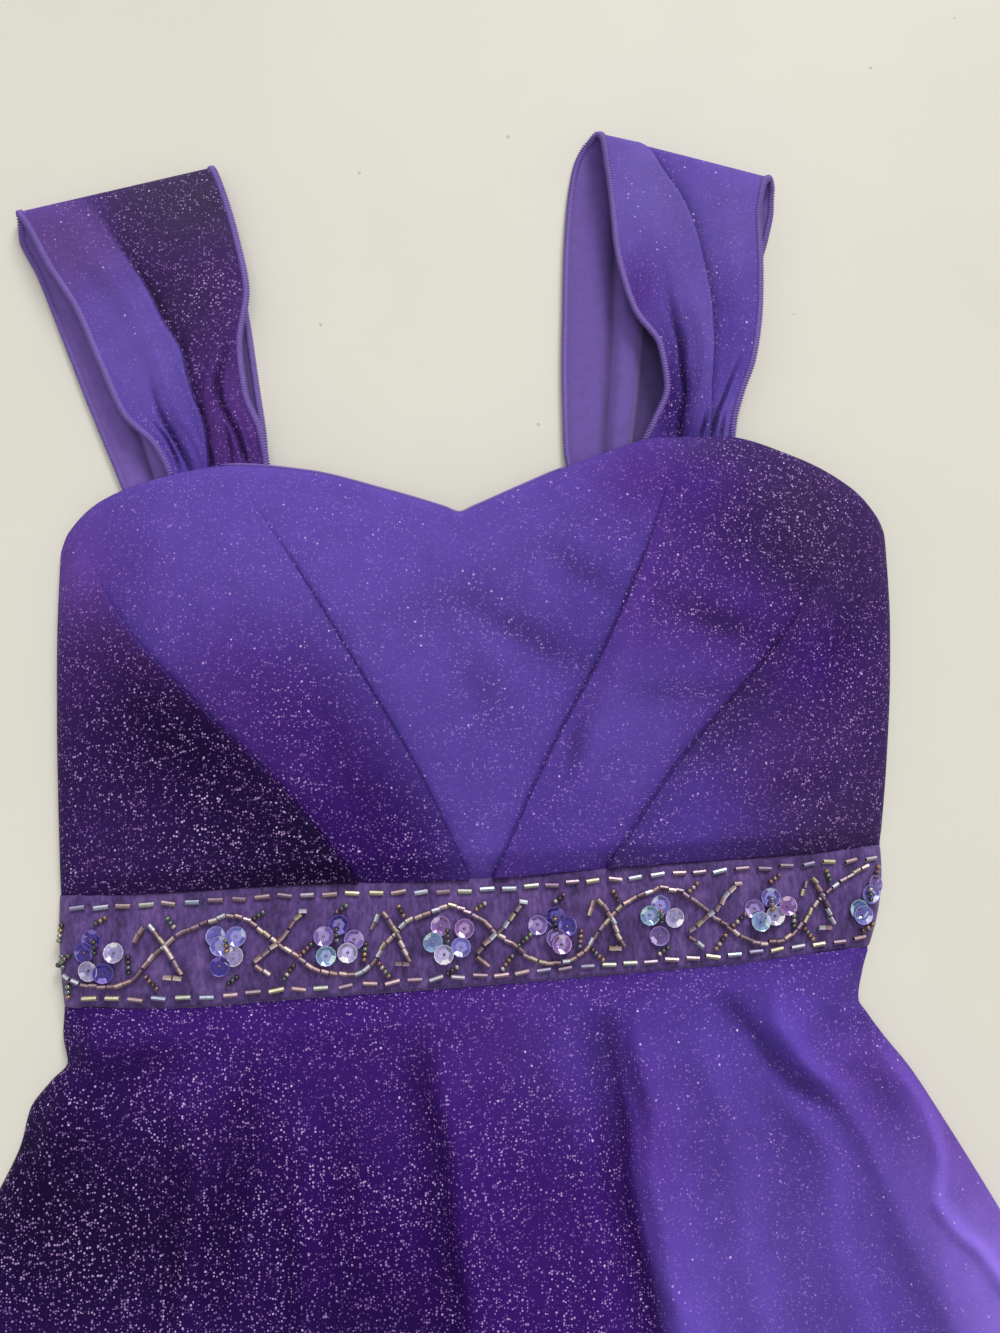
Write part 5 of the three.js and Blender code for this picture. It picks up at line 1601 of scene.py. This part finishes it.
# Stage
BOARD_HALF = 4.0
WARM_WHITE = (1.0, 0.985, 0.95, 1)
ROOM_LIGHT = 0.42
LAMP_COLOUR = (1.0, 0.985, 0.96)
# name, kind, place, power, and its size in metres or its angle in radians
LAMPS = (
    ("over", "AREA", (0.0, 0.1, 1.9), 8, "size", 1.2),
    ("head", "SUN", (0.55, 1.6, 1.15), 1.75, "angle", math.radians(22)),
)
LAMPS_LOOK_AT = (0, 0.15, 0)


class DRESS_OT_stage(bpy.types.Operator):
    """Pale board, soft light and the camera over the dress"""
    bl_idname = "dress.stage"
    bl_label = "Stage"

    def execute(self, context):
        scene = context.scene
        bm = bmesh.new()
        bmesh.ops.create_grid(bm, x_segments=1, y_segments=1, size=BOARD_HALF)
        board = new_object("board", mesh_from("board", bm))
        board.data.materials.append(floor_material("pale_board", scene.dress_colours))
        camera = bpy.data.cameras.new("camera")
        camera.lens = CAMERA_LENS
        camera.sensor_width = 36
        camera.clip_start = 0.01
        scene.camera = new_object("camera", camera)
        pitch, yaw, roll = (math.radians(v) for v in (CAMERA_PITCH, CAMERA_YAW, CAMERA_ROLL))
        turn = Matrix.Rotation(yaw, 4, "Y") @ Matrix.Rotation(pitch, 4, "X") @ Matrix.Rotation(roll, 4, "Z")
        place = Vector([float(c) for c in (np.array(CAMERA_PLACE) * MM + SHIFT)])
        scene.camera.matrix_world = Matrix.Translation(place) @ turn
        scene.world = bpy.data.worlds.new("room")
        scene.world.use_nodes = True
        room = scene.world.node_tree.nodes["Background"]
        room.inputs[0].default_value = WARM_WHITE
        room.inputs[1].default_value = ROOM_LIGHT
        for name, kind, spot, power, spread_by, amount in LAMPS:
            lamp = bpy.data.lights.new(name, kind)
            setattr(lamp, spread_by, amount)
            lamp.energy = power
            lamp.color = LAMP_COLOUR
            light = new_object(name, lamp)
            light.location = spot
            light.rotation_euler = (Vector(LAMPS_LOOK_AT) - Vector(spot)).to_track_quat("-Z", "Y").to_euler()
        scene.view_settings.view_transform = "Standard"
        return made("board")


class DRESS_PT_panel(bpy.types.Panel):
    """Lists the steps that make the dress"""
    bl_idname = "DRESS_PT_panel"
    bl_label = "Formal dress"
    bl_space_type = "VIEW_3D"
    bl_region_type = "UI"
    bl_category = "Dress"

    def draw(self, context):
        for group in (context.scene.dress_sizes, context.scene.dress_colours):
            for name in group.__annotations__:
                self.layout.prop(group, name)
        for operator in STEPS:
            self.layout.operator(operator.bl_idname)


STEPS = (
    DRESS_OT_stage, DRESS_OT_backs, DRESS_OT_bodice_front, DRESS_OT_waistband, DRESS_OT_skirt_front,
    DRESS_OT_straps, DRESS_OT_strap_edges, DRESS_OT_neck_edge, DRESS_OT_beadwork,
)
CLASSES = (DressSizes, DressColours) + STEPS + (DRESS_PT_panel,)


def register():
    for cls in CLASSES:
        bpy.utils.register_class(cls)
    bpy.types.Scene.dress_sizes = bpy.props.PointerProperty(type=DressSizes)
    bpy.types.Scene.dress_colours = bpy.props.PointerProperty(type=DressColours)


def unregister():
    del bpy.types.Scene.dress_sizes
    del bpy.types.Scene.dress_colours
    for cls in reversed(CLASSES):
        bpy.utils.unregister_class(cls)


def main():
    register()
    bpy.ops.dress.stage()
    bpy.ops.dress.backs()
    bpy.ops.dress.bodice_front()
    bpy.ops.dress.waistband()
    bpy.ops.dress.skirt_front()
    bpy.ops.dress.straps()
    bpy.ops.dress.strap_edges()
    bpy.ops.dress.neck_edge()
    bpy.ops.dress.beadwork()


if __name__ == "__main__":
    main()
